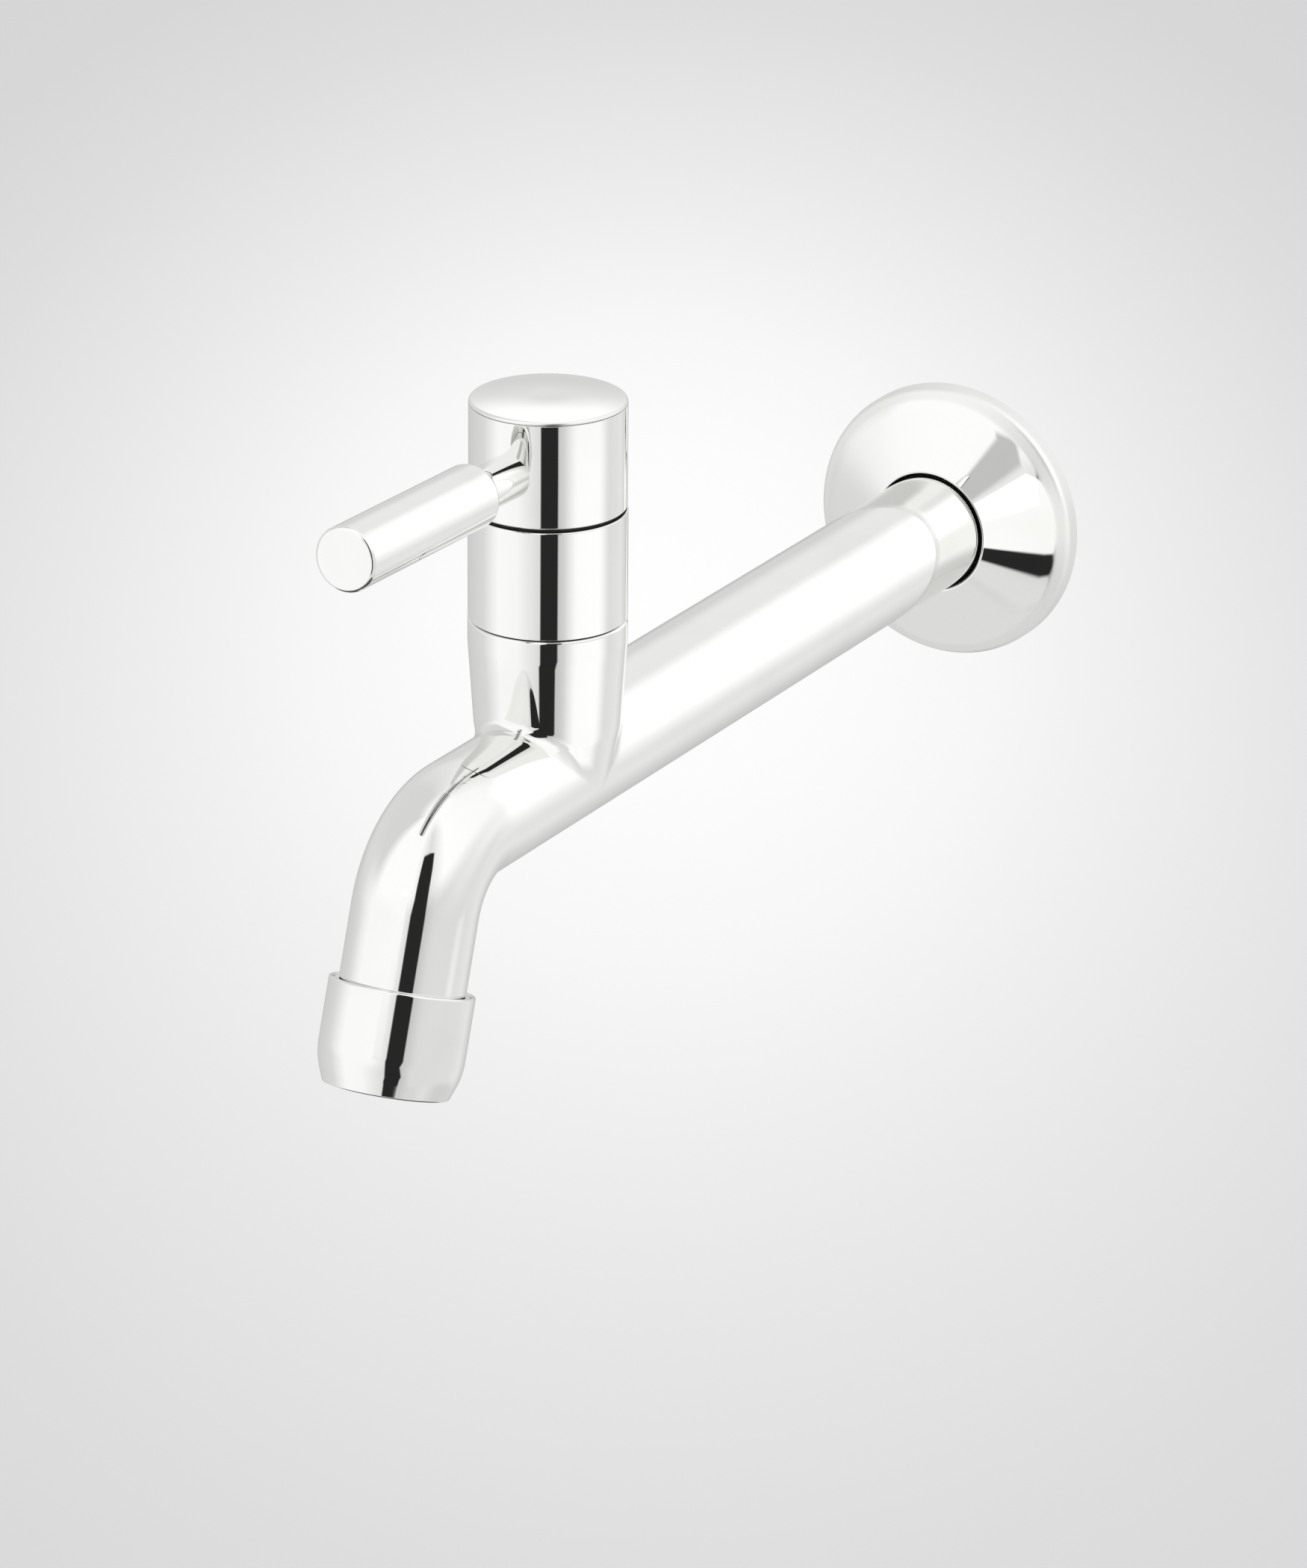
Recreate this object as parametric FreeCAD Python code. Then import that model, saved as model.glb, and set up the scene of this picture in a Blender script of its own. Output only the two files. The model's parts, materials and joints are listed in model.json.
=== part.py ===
import FreeCAD, Part
import os
from math import pi, sin, cos, tan, atan2, radians, sqrt

# Wall-mounted bib tap with a long barrel, millimetres.
# Origin: centre of the flange's wall face, on the barrel axis.
# +Y goes into the wall, the spout reaches towards -Y, +Z is up.

V = FreeCAD.Vector

# reach of the casting
wall_to_tower = 175.5
barrel_diameter = 25.0
barrel_bore = 15.0
barrel_end_setback = 3.0
barrel_end_chamfer = 0.5

# inlet thread behind the wall face
inlet_thread_diameter = 20.955
inlet_thread_length = 14.0
inlet_relief_depth = 1.2
inlet_relief_length = 2.0
inlet_chamfer = 1.2

# tower of the casting, which swells out of the barrel
tower_top_height = 32.7
tower_top_swell = 0.05
tower_land_length = 5.7
tower_waist_height = 9.5
tower_waist_swell = 2.15
tower_foot_inset = 0.1
tower_foot_depth = 2.0
tower_edge_radius = 0.7
junction_radius = 2.0

# spout: straight run past the tower, bend, straight run down to the nozzle
spout_straight = 33.0
spout_bend_radius = 19.2
spout_lean = 18.7
spout_drop_length = 14.8
spout_bore = 17.0
spout_shoulder_gap = 0.7
spout_shoulder_radius = 0.9
spout_neck_diameter = 22.0
spout_neck_length = 9.0

# valve chamber inside the tower
seat_wall = 2.5
seat_hole_diameter = 10.0
chamber_wall = 2.7
thread_grip = 9.2
transfer_bore = 7.0
transfer_wall = 1.3
partition_wall = 7.0
bore_end_margin = 0.5

# fits shared by several pieces
thread_fit = 0.05
running_fit = 0.05
film_gap = 0.02
loose_fit = 0.4
thread_chamfer = 0.8

# cartridge
hex_chamfer = 0.8
cartridge_thread_diameter = 20.955
cartridge_thread_depth = 0.68
cartridge_wall = 1.1
cartridge_seat_clearance = 0.3
seal_height = 2.5
seal_hole_margin = 0.1
fixed_disc_height = 3.0
moving_disc_height = 3.2
disc_side_fit = 0.1
port_outer_radius = 6.4
port_inner_radius = 3.0
port_half_angle = 38.0
tang_length = 12.0
tang_width = 4.0
tang_height = 1.2
tang_fit = 0.1
spindle_flange_height = 2.4
spindle_diameter = 9.0
spindle_head_diameter = 8.0
spindle_head_gap = 0.5
spline_count = 20
spline_depth = 0.45
glide_washer_height = 1.0
window_width = 9.0
window_height = 5.4
window_lift = 0.3
hex_across_flats = 22.0
hex_height = 6.0
housing_washer_height = 1.5
housing_washer_wall = 2.0
housing_top_diameter = 18.0
housing_top_drop = 1.1
o_ring_section = 1.0
o_ring_groove_width = 1.3
o_ring_pitch = 5.0
o_ring_height = 31.0
circlip_height = 0.8
circlip_width = 2.2
circlip_groove_depth = 0.8
circlip_gap_width = 3.0

# bonnet sleeve
sleeve_diameter = 31.6
sleeve_wall = 1.6
sleeve_web_height = 4.0
sleeve_seam = 0.4
sleeve_foot_chamfer = 0.35
sleeve_foot_chamfer_height = 1.0
sleeve_edge_radius = 0.4

# seam and glide ring between sleeve and hub
hub_seam = 0.9
glide_ring_inset = 0.9
glide_ring_width = 2.8
glide_ring_lip = 1.0
glide_ring_lip_depth = 1.0
glide_ring_clearance = 0.2

# handle hub
hub_diameter = 31.3
hub_below_lever = 8.9
hub_above_lever = 11.4
hub_edge_radius = 0.6
hub_skirt_wall = 2.0
hub_skirt_depth = 4.5
hub_pocket_depth = 5.0
hub_pocket_diameter = 24.0
hub_web = 1.6
hub_bevel = 0.12

# spline insert and handle screw
insert_diameter = 12.0
insert_fit = 0.03
screw_diameter = 5.0
screw_length = 12.0
screw_head_diameter = 9.0
screw_head_height = 2.6
screw_hex_flats = 3.0
screw_hex_depth = 1.8
screw_hole_fit = 0.15
screw_bottom_clearance = 1.5
screw_chamfer = 0.7
screw_head_radius = 1.4

# top cap
cap_edge_height = 0.4
cap_edge_radius = 0.25
cap_rise = 1.1
cap_plate = 1.6
cap_skirt_wall = 1.6
cap_skirt_depth = 3.2
cap_skirt_fit = 0.15
cap_ring_section = 1.0

# lever
lever_height = 64.9
lever_rise = 1.4
lever_neck_diameter = 9.0
lever_thread_diameter = 6.0
lever_thread_length = 6.8
lever_spot_margin = 0.1
lever_rod_diameter = 13.1
lever_rod_start = 29.3
lever_rod_end = 76.8
lever_rear_radius = 1.2
lever_front_radius = 0.9
lever_front_crown = 0.4
lever_socket_depth = 12.0
lever_socket_gap = 0.5

# wall flange
flange_diameter = 60.2
flange_height = 12.0
flange_rim_height = 4.1
flange_rim_radius = 2.6
flange_wall = 1.5
flange_hole_gap = 0.9
flange_lip_radius = 0.3
flange_collar_length = 4.4
flange_collar_wall = 1.0
flange_ring_section = 2.0
flange_ring_depth = 2.4
flange_groove_fit = 0.05

# nozzle sleeve
nozzle_diameter = 28.9
nozzle_length = 20.7
nozzle_straight = 12.8
nozzle_end_diameter = 25.0
nozzle_taper_length = 5.2
nozzle_rim_radius = 0.4
nozzle_rim_wall = 1.0
nozzle_recess_depth = 2.2
nozzle_cavity_diameter = 22.6
nozzle_lip_width = 1.8
nozzle_lip_height = 1.3
nozzle_end_radius = 0.5

# aerator
aerator_washer_height = 1.4
aerator_washer_wall = 3.4
aerator_flange_height = 1.5
aerator_fit = 0.15
aerator_body_step = 0.65
aerator_body_wall = 1.5
aerator_lip_height = 0.6
aerator_lip_width = 0.6
screen_height = 0.4
screen_pitch = 1.0
screen_count = 3
screen_hole = 1.1
screen_step = 1.9
screen_rim = 0.4
screen_fit = 0.1
straightener_height = 2.6
straightener_hole = 2.0
straightener_step = 2.7

# derived places on the wall side and the spout
tower_y = -wall_to_tower
lean = radians(spout_lean)
barrel_r = barrel_diameter / 2
bend_start_y = tower_y - spout_straight
bend_end_y = bend_start_y - spout_bend_radius * cos(lean)
bend_end_z = -spout_bend_radius * (1 - sin(lean))
spout_axis = V(0, -sin(lean), -cos(lean))
nozzle_top = V(0, bend_end_y, bend_end_z) + spout_axis * spout_drop_length

# derived heights up the tower
sleeve_bottom = tower_top_height + sleeve_seam
hub_bottom = lever_height - hub_below_lever
hub_top = lever_height + hub_above_lever
sleeve_top = hub_bottom - hub_seam
seat_height = barrel_bore / 2 + seat_wall
thread_foot = tower_top_height - thread_grip
seal_top = seat_height + seal_height
fixed_top = seal_top + fixed_disc_height
moving_bottom = fixed_top + film_gap
moving_top = moving_bottom + moving_disc_height
flange_top = moving_top + spindle_flange_height
washer_bottom = flange_top + film_gap
shoulder_height = washer_bottom + glide_washer_height
hex_bottom = tower_top_height + housing_washer_height
hex_top = hex_bottom + hex_height
housing_top = sleeve_top - housing_top_drop

# derived radii of the cartridge
thread_r = cartridge_thread_diameter / 2
housing_r = thread_r - cartridge_thread_depth
housing_bore_r = housing_r - cartridge_wall
disc_r = housing_bore_r - disc_side_fit
rotor_r = housing_bore_r - loose_fit
spindle_r = spindle_diameter / 2

def outline(corners):
    # closed profile in the XZ plane from (radius, height, rounding) corners
    count = len(corners)
    starts = []
    middles = []
    ends = []
    for i in range(count):
        radius, height, rounding = corners[i]
        corner = V(radius, 0, height)
        if rounding == 0:
            starts.append(corner)
            middles.append(None)
            ends.append(corner)
            continue
        last = corners[i - 1]
        following = corners[(i + 1) % count]
        back = (V(last[0], 0, last[1]) - corner).normalize()
        ahead = (V(following[0], 0, following[1]) - corner).normalize()
        half = back.getAngle(ahead) / 2
        bisector = (back + ahead).normalize()
        starts.append(corner + back * (rounding / tan(half)))
        ends.append(corner + ahead * (rounding / tan(half)))
        middles.append(corner + bisector * (rounding / sin(half) - rounding))
    edges = []
    for i in range(count):
        if middles[i] is not None:
            edges.append(Part.Arc(starts[i], middles[i], ends[i]).toShape())
        following = starts[(i + 1) % count]
        if ends[i].distanceToPoint(following) > 1e-6:
            edges.append(Part.LineSegment(ends[i], following).toShape())
    return Part.Wire(edges)


def turned(corners):
    # solid of revolution about the Z axis
    face = Part.Face(outline(corners))
    return face.revolve(V(0, 0, 0), V(0, 0, 1), 360)


def rod(radius, start, end):
    # cylinder from start to end
    span = end - start
    return Part.makeCylinder(radius, span.Length, start, span)


def plain_ring(inner, outer, low, high):
    return turned([(inner, low, 0), (outer, low, 0), (outer, high, 0), (inner, high, 0)])


def o_ring(inner, section, height):
    return Part.makeTorus(inner + section / 2, section / 2, V(0, 0, height))


def hex_prism(across_flats, low, high):
    corner_radius = across_flats / 2 / cos(pi / 6)
    points = []
    for i in range(7):
        angle = i * pi / 3
        points.append(V(corner_radius * cos(angle), corner_radius * sin(angle), low))
    return Part.Face(Part.makePolygon(points)).extrude(V(0, 0, high - low))


def at_tower(shape):
    shape.translate(V(0, tower_y, 0))
    return shape


def on_axis(shape, origin, direction):
    # carries a shape from the Z axis to an axis through origin
    shape.Placement = FreeCAD.Placement(origin, FreeCAD.Rotation(V(0, 0, 1), direction))
    return shape


def bent_tube(radius, drop_length):
    # bend and straight run down of one radius
    ring = Part.makeCircle(radius, V(0, bend_start_y, 0), V(0, -1, 0))
    section = Part.Face(Part.Wire(ring))
    bend = section.revolve(V(0, bend_start_y, -spout_bend_radius), V(1, 0, 0), 90 - spout_lean)
    foot = V(0, bend_end_y, bend_end_z)
    return bend.fuse(rod(radius, foot, foot + spout_axis * drop_length))


def junction_edges(whole, first, second):
    # curved edges of the whole where the surfaces of both bodies cross
    shells = [Part.Shell(first.Faces), Part.Shell(second.Faces)]
    found = []
    for edge in whole.Edges:
        if edge.Curve.TypeId == "Part::GeomLine":
            continue
        low, high = edge.ParameterRange
        on_both = True
        for share in (0.2, 0.5, 0.8):
            point = Part.Vertex(edge.valueAt(low + (high - low) * share))
            for shell in shells:
                if point.distToShape(shell)[0] > 0.001:
                    on_both = False
        if on_both:
            found.append(edge)
    return found


def lever_rod_at(radius, start, end):
    # cylinder on the lever axis, distances count from the tower axis
    return rod(radius, lever_root + lever_axis * start, lever_root + lever_axis * end)


def centred_box(length, width, low, high):
    return Part.makeBox(length, width, high - low, V(-length / 2, -width / 2, low))


def spline_prism(outer, inner, low, high):
    # prism with alternating tooth tips and roots
    points = []
    for i in range(2 * spline_count + 1):
        angle = i * pi / spline_count
        radius = outer if i % 2 == 0 else inner
        points.append(V(radius * cos(angle), radius * sin(angle), low))
    return Part.Face(Part.makePolygon(points)).extrude(V(0, 0, high - low))


def port_pair(low, high, outer, first_angle):
    # two opposite fan-shaped water ports
    spread = radians(port_half_angle)
    inner = port_inner_radius
    ports = []
    for middle in (radians(first_angle), radians(first_angle) + pi):
        corners = []
        for radius, angle in ((inner, middle - spread), (outer, middle - spread), (outer, middle),
                              (outer, middle + spread), (inner, middle + spread), (inner, middle)):
            corners.append(V(radius * cos(angle), radius * sin(angle), low))
        edges = [Part.LineSegment(corners[0], corners[1]).toShape(),
                 Part.Arc(corners[1], corners[2], corners[3]).toShape(),
                 Part.LineSegment(corners[3], corners[4]).toShape(),
                 Part.Arc(corners[4], corners[5], corners[0]).toShape()]
        ports.append(Part.Face(Part.Wire(edges)).extrude(V(0, 0, high - low)))
    return ports


def grid_of_holes(step, limit, radius, low, high):
    # round holes on a square grid, as many as fit inside the limit radius
    holes = []
    reach = int(limit / step) + 1
    for column in range(-reach, reach + 1):
        for row in range(-reach, reach + 1):
            x = column * step
            y = row * step
            if (x * x + y * y) ** 0.5 + radius < limit:
                holes.append(Part.makeCylinder(radius, high - low, V(x, y, low)))
    return holes


# casting: tower, barrel and spout in one piece
tower_top_r = sleeve_diameter / 2 + tower_top_swell
waist_r = barrel_r + tower_waist_swell
foot_r = barrel_r - tower_foot_inset
tower = at_tower(turned([
    (0, -tower_foot_depth, 0),
    (foot_r, -tower_foot_depth, 0),
    (waist_r, tower_waist_height, tower_waist_height + tower_foot_depth),
    (tower_top_r, tower_top_height - tower_land_length, tower_land_length),
    (tower_top_r, tower_top_height, tower_edge_radius),
    (0, tower_top_height, 0)]))
barrel = on_axis(turned([
    (0, 0, 0),
    (barrel_r, 0, 0),
    (barrel_r, -bend_start_y - barrel_end_setback - barrel_end_chamfer, 0),
    (barrel_r - barrel_end_chamfer, -bend_start_y - barrel_end_setback, 0),
    (0, -bend_start_y - barrel_end_setback, 0)]), V(0, bend_start_y, 0), V(0, 1, 0))
shoulder = spout_drop_length - spout_shoulder_gap
spout_end_start = spout_drop_length / 2
drop_foot = V(0, bend_end_y, bend_end_z)
neck_r = spout_neck_diameter / 2
spout_end = on_axis(turned([
    (0, spout_end_start, 0),
    (barrel_r, spout_end_start, 0),
    (barrel_r, shoulder, spout_shoulder_radius),
    (neck_r, shoulder, 0),
    (neck_r, spout_drop_length + spout_neck_length - thread_chamfer, 0),
    (neck_r - thread_chamfer, spout_drop_length + spout_neck_length, 0),
    (0, spout_drop_length + spout_neck_length, 0)]), drop_foot, spout_axis)
bend_and_drop = bent_tube(barrel_r, spout_end_start)
tube = barrel.fuse([bend_and_drop, spout_end]).removeSplitter()
casting = tube.fuse(tower).removeSplitter()
casting = casting.makeFillet(junction_radius, junction_edges(casting, tube, tower))

inlet_r = inlet_thread_diameter / 2
relief_r = inlet_r - inlet_relief_depth
relief_end = inlet_relief_length - barrel_end_setback
inlet = on_axis(turned([
    (0, -inlet_thread_length, 0),
    (relief_r, -inlet_thread_length, 0),
    (relief_r, relief_end, 0),
    (inlet_r - inlet_relief_depth / 2, relief_end, 0),
    (inlet_r, relief_end + inlet_relief_depth / 2, 0),
    (inlet_r, inlet_thread_length - inlet_chamfer, 0),
    (inlet_r - inlet_chamfer, inlet_thread_length, 0),
    (0, inlet_thread_length, 0)]), V(0, 0, 0), V(0, 1, 0))
casting = casting.fuse(inlet)

# casting: water way, valve chamber and thread for the cartridge
bore_r = barrel_bore / 2
seat_hole_r = seat_hole_diameter / 2
bore_end = tower_y - seat_hole_r - bore_end_margin
thread_bore_r = thread_r + thread_fit
chamber_r = waist_r - chamber_wall
water_in = rod(bore_r, V(0, bore_end, 0), V(0, inlet_thread_length + 1, 0))
riser = rod(seat_hole_r, V(0, tower_y, 0), V(0, tower_y, seat_height + 1))
chamber = at_tower(turned([
    (0, seat_height, 0),
    (chamber_r, seat_height, 0),
    (chamber_r, thread_foot - (chamber_r - thread_bore_r), 0),
    (thread_bore_r, thread_foot, 0),
    (thread_bore_r, tower_top_height - thread_chamfer, 0),
    (thread_bore_r + thread_chamfer, tower_top_height, 0),
    (thread_bore_r + thread_chamfer, tower_top_height + 1, 0),
    (0, tower_top_height + 1, 0)]))
transfer_r = transfer_bore / 2
transfer_reach = seat_hole_r + bore_end_margin + bore_r + (transfer_wall + transfer_r) / sin(pi / 4)
transfer_top = seat_height + transfer_r
transfer = rod(transfer_r, V(0, tower_y - transfer_reach + transfer_top, transfer_top),
               V(0, tower_y - transfer_reach, 0))
spout_bore_r = spout_bore / 2
water_out = rod(spout_bore_r, V(0, bore_end - partition_wall, 0), V(0, bend_start_y, 0))
water_bend = bent_tube(spout_bore_r, spout_drop_length + spout_neck_length + 1)
casting = casting.cut([water_in, riser, chamber, transfer, water_out, water_bend])

# seat seal and the two ceramic discs
seal_inner = seat_hole_r + seal_hole_margin
seal = at_tower(plain_ring(seal_inner, housing_bore_r - running_fit, seat_height, seal_top))
fixed_disc = Part.makeCylinder(disc_r, fixed_disc_height, V(0, 0, seal_top))
fixed_disc = at_tower(fixed_disc.cut(port_pair(seal_top - 1, fixed_top + 1, port_outer_radius, 0)))
tang_depth = tang_height + tang_fit
slot_width = tang_width + 2 * tang_fit
slot = centred_box(tang_length + 2 * tang_fit, slot_width, moving_top - tang_depth, moving_top + 1)
moving_disc = Part.makeCylinder(rotor_r, moving_disc_height, V(0, 0, moving_bottom))
ports = port_pair(moving_bottom - 1, moving_top + 1, port_outer_radius, 90)
moving_disc = at_tower(moving_disc.cut(ports + [slot]))

# spindle: flange with tang and side ports, o-ring grooves, circlip groove and splined head
circlip_foot = housing_top + running_fit
circlip_groove_r = spindle_r - circlip_groove_depth
groove_r = spindle_r - o_ring_section
head_r = spindle_head_diameter / 2
web_bottom = hub_top - hub_pocket_depth - hub_web
head_top = web_bottom - spindle_head_gap
spline_foot = circlip_foot + circlip_height + 2 * running_fit
o_ring_heights = [o_ring_height, o_ring_height + o_ring_pitch]
stem = [
    (0, moving_top, 0),
    (rotor_r, moving_top, 0),
    (rotor_r, flange_top, 0),
    (spindle_r, flange_top, 0)]
for height in o_ring_heights:
    low = height - o_ring_groove_width / 2
    high = height + o_ring_groove_width / 2
    stem += [(spindle_r, low, 0), (groove_r, low, 0), (groove_r, high, 0), (spindle_r, high, 0)]
stem += [(spindle_r, circlip_foot - running_fit, 0), (circlip_groove_r, circlip_foot - running_fit, 0),
         (circlip_groove_r, spline_foot, 0), (head_r, spline_foot, 0),
         (head_r, head_top - thread_chamfer, 0), (head_r - thread_chamfer, head_top, 0), (0, head_top, 0)]
spindle = turned(stem)
tang_root = moving_top + spindle_flange_height / 2
tang = centred_box(tang_length, tang_width, moving_top - tang_height, tang_root)
side_ports = port_pair(moving_top - tang_height - 1, flange_top, rotor_r + 1, 90)
spindle = spindle.fuse(tang).cut(side_ports)
teeth = spline_prism(head_r + 1, head_r + 1, spline_foot, head_top + 1)
teeth = teeth.cut(spline_prism(head_r, head_r - spline_depth, spline_foot - 1, head_top + 2))
spindle = spindle.cut(teeth)
screw_r = screw_diameter / 2
screw_seat = hub_top - hub_pocket_depth
screw_foot = screw_seat - screw_length
tapped_hole = Part.makeCylinder(screw_r + thread_fit, head_top + 1 - screw_foot + screw_bottom_clearance,
                                V(0, 0, screw_foot - screw_bottom_clearance))
spindle = at_tower(spindle.cut(tapped_hole))
spindle_rings = []
for height in o_ring_heights:
    spindle_rings.append(at_tower(o_ring(groove_r, o_ring_section, height)))
circlip_inner = circlip_groove_r + running_fit
circlip_outer = circlip_inner + circlip_width
circlip = plain_ring(circlip_inner, circlip_outer, circlip_foot, circlip_foot + circlip_height)
gap_cut = Part.makeBox(circlip_gap_width, circlip_inner + circlip_width + 1, circlip_height + 2,
                       V(-circlip_gap_width / 2, 0, circlip_foot - 1))
circlip = at_tower(circlip.cut(gap_cut))

# cartridge housing with its washer and the glide washer under its inner shoulder
housing_foot = seat_height + cartridge_seat_clearance
housing_top_r = housing_top_diameter / 2
thread_start = thread_foot - thread_chamfer
spindle_bore_r = spindle_r + running_fit
housing = turned([
    (housing_bore_r, housing_foot, 0),
    (housing_r, housing_foot, 0),
    (housing_r, thread_start, 0),
    (thread_r, thread_start + cartridge_thread_depth, 0),
    (thread_r, hex_bottom + hex_height / 2, 0),
    (housing_top_r, hex_bottom + hex_height / 2, 0),
    (housing_top_r, housing_top - thread_chamfer, 0),
    (housing_top_r - thread_chamfer, housing_top, 0),
    (spindle_bore_r, housing_top, 0),
    (spindle_bore_r, shoulder_height, 0),
    (housing_bore_r, shoulder_height, 0)])
corner_r = hex_across_flats / 2 / cos(pi / 6)
hexagon = hex_prism(hex_across_flats, hex_bottom, hex_top)
hexagon = hexagon.common(turned([
    (housing_top_r, hex_bottom, 0),
    (corner_r, hex_bottom, 0),
    (corner_r, hex_top - hex_chamfer, 0),
    (corner_r - 2 * hex_chamfer, hex_top, 0),
    (housing_top_r, hex_top, 0)]))
window_low = fixed_top + window_lift
window = centred_box(4 * thread_r, window_width, window_low, window_low + window_height)
housing = at_tower(housing.cut(window).fuse(hexagon).removeSplitter())
washer_inner = thread_r + thread_fit
washer_outer = washer_inner + housing_washer_wall
housing_washer = at_tower(plain_ring(washer_inner, washer_outer, tower_top_height, hex_bottom))
glide_washer = at_tower(plain_ring(spindle_r + loose_fit, disc_r, washer_bottom, shoulder_height))

# bonnet sleeve, screwed on the top of the housing
sleeve_r = sleeve_diameter / 2
sleeve_bore_r = sleeve_r - sleeve_wall
web_low = sleeve_top - sleeve_web_height
glide_outer = sleeve_r - glide_ring_inset
glide_inner = glide_outer - glide_ring_width
lip_bottom = sleeve_top - glide_ring_lip_depth
sleeve = at_tower(turned([
    (sleeve_bore_r, sleeve_bottom, 0),
    (sleeve_r - sleeve_foot_chamfer, sleeve_bottom, 0),
    (sleeve_r, sleeve_bottom + sleeve_foot_chamfer_height, 0),
    (sleeve_r, sleeve_top, sleeve_edge_radius),
    (glide_inner + glide_ring_lip + running_fit, sleeve_top, 0),
    (glide_inner + glide_ring_lip + running_fit, lip_bottom - running_fit, 0),
    (glide_inner - running_fit, lip_bottom - running_fit, 0),
    (glide_inner - running_fit, sleeve_top, 0),
    (housing_top_r + thread_fit, sleeve_top, 0),
    (housing_top_r + thread_fit, web_low, 0),
    (sleeve_bore_r, web_low, 0)]))
glide_ring = at_tower(turned([
    (glide_inner, lip_bottom, 0),
    (glide_inner + glide_ring_lip, lip_bottom, 0),
    (glide_inner + glide_ring_lip, sleeve_top, 0),
    (glide_outer, sleeve_top, 0),
    (glide_outer, hub_bottom - glide_ring_clearance, 0),
    (glide_inner, hub_bottom - glide_ring_clearance, 0)]))

# handle hub with skirt, web, pocket for the cap and seat for the lever neck
hub_r = hub_diameter / 2
skirt_r = hub_r - hub_skirt_wall
skirt_top = hub_bottom + hub_skirt_depth
insert_r = insert_diameter / 2
pocket_r = hub_pocket_diameter / 2
hub = at_tower(turned([
    (skirt_r, hub_bottom, 0),
    (hub_r, hub_bottom, hub_edge_radius),
    (hub_r, hub_top - hub_bevel, 0),
    (hub_r - hub_bevel, hub_top, 0),
    (pocket_r, hub_top, 0),
    (pocket_r, screw_seat, 0),
    (screw_r + screw_hole_fit, screw_seat, 0),
    (screw_r + screw_hole_fit, web_bottom, 0),
    (insert_r, web_bottom, 0),
    (insert_r, skirt_top, 0),
    (skirt_r, skirt_top, 0)]))
rise = radians(lever_rise)
lever_axis = V(0, -cos(rise), sin(rise))
lever_root = V(0, tower_y, lever_height)
lever_neck_r = lever_neck_diameter / 2
lever_thread_r = lever_thread_diameter / 2
neck_shoulder = sqrt(hub_r ** 2 - lever_neck_r ** 2) - lever_spot_margin
thread_end = neck_shoulder - lever_thread_length
spot_face = lever_rod_at(lever_neck_r + thread_fit, neck_shoulder, hub_r + 1)
neck_hole = lever_rod_at(lever_thread_r + thread_fit, thread_end - thread_fit, neck_shoulder + 1)
hub = hub.cut([spot_face, neck_hole])

# spline insert, handle screw, top cap and its ring
insert = Part.makeCylinder(insert_r - insert_fit, web_bottom - skirt_top, V(0, 0, skirt_top))
insert = at_tower(insert.cut(spline_prism(head_r + running_fit, head_r - spline_depth + running_fit,
                                          skirt_top - 1, web_bottom + 1)))
screw = turned([
    (0, screw_foot, 0),
    (screw_r - screw_chamfer, screw_foot, 0),
    (screw_r, screw_foot + screw_chamfer, 0),
    (screw_r, screw_seat, 0),
    (screw_head_diameter / 2, screw_seat, 0),
    (screw_head_diameter / 2, screw_seat + screw_head_height, screw_head_radius),
    (0, screw_seat + screw_head_height, 0)])
socket_top = screw_seat + screw_head_height
screw = at_tower(screw.cut(hex_prism(screw_hex_flats, socket_top - screw_hex_depth, socket_top + 1)))
edge_height = hub_top + cap_edge_height
cap_top = edge_height + cap_rise
crown_corner = (hub_r - cap_edge_radius) / 2
crown_round = crown_corner / tan(atan2(cap_rise, hub_r - crown_corner) / 2) - cap_rise
skirt_outer = pocket_r - cap_skirt_fit
cap_groove_r = pocket_r - cap_ring_section
skirt_inner = skirt_outer - cap_skirt_wall
ring_height = hub_top - cap_skirt_depth / 2
ring_half = cap_ring_section / 2 + running_fit
cap = at_tower(turned([
    (0, edge_height - cap_plate, 0),
    (skirt_inner, edge_height - cap_plate, 0),
    (skirt_inner, hub_top - cap_skirt_depth, 0),
    (skirt_outer, hub_top - cap_skirt_depth, 0),
    (skirt_outer, ring_height - ring_half, 0),
    (cap_groove_r, ring_height - ring_half, 0),
    (cap_groove_r, ring_height + ring_half, 0),
    (skirt_outer, ring_height + ring_half, 0),
    (skirt_outer, hub_top, 0),
    (hub_r - hub_bevel, hub_top, 0),
    (hub_r, hub_top + hub_bevel, 0),
    (hub_r, edge_height, cap_edge_radius),
    (crown_corner, cap_top, crown_round),
    (0, cap_top, 0)]))
cap_ring = at_tower(o_ring(cap_groove_r, cap_ring_section, ring_height))

# lever: neck screwed into the hub, thick rod fixed on the neck
socket_end = lever_rod_start + lever_socket_depth
neck_end = socket_end - lever_socket_gap
neck = on_axis(turned([
    (0, thread_end, 0),
    (lever_thread_r - screw_chamfer, thread_end, 0),
    (lever_thread_r, thread_end + screw_chamfer, 0),
    (lever_thread_r, neck_shoulder, 0),
    (lever_neck_r, neck_shoulder, 0),
    (lever_neck_r, neck_end - screw_chamfer, 0),
    (lever_neck_r - screw_chamfer, neck_end, 0),
    (0, neck_end, 0)]), lever_root, lever_axis)
rod_r = lever_rod_diameter / 2
front_corner = (rod_r - lever_front_radius) / 2
front_round = front_corner / tan(atan2(lever_front_crown, rod_r - front_corner) / 2) - lever_front_crown
grip = on_axis(turned([
    (lever_neck_r + thread_fit, lever_rod_start, 0),
    (rod_r, lever_rod_start, lever_rear_radius),
    (rod_r, lever_rod_end - lever_front_crown, lever_front_radius),
    (front_corner, lever_rod_end, front_round),
    (0, lever_rod_end, 0),
    (0, socket_end, 0),
    (lever_neck_r + thread_fit, socket_end, 0)]), lever_root, lever_axis)

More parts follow.
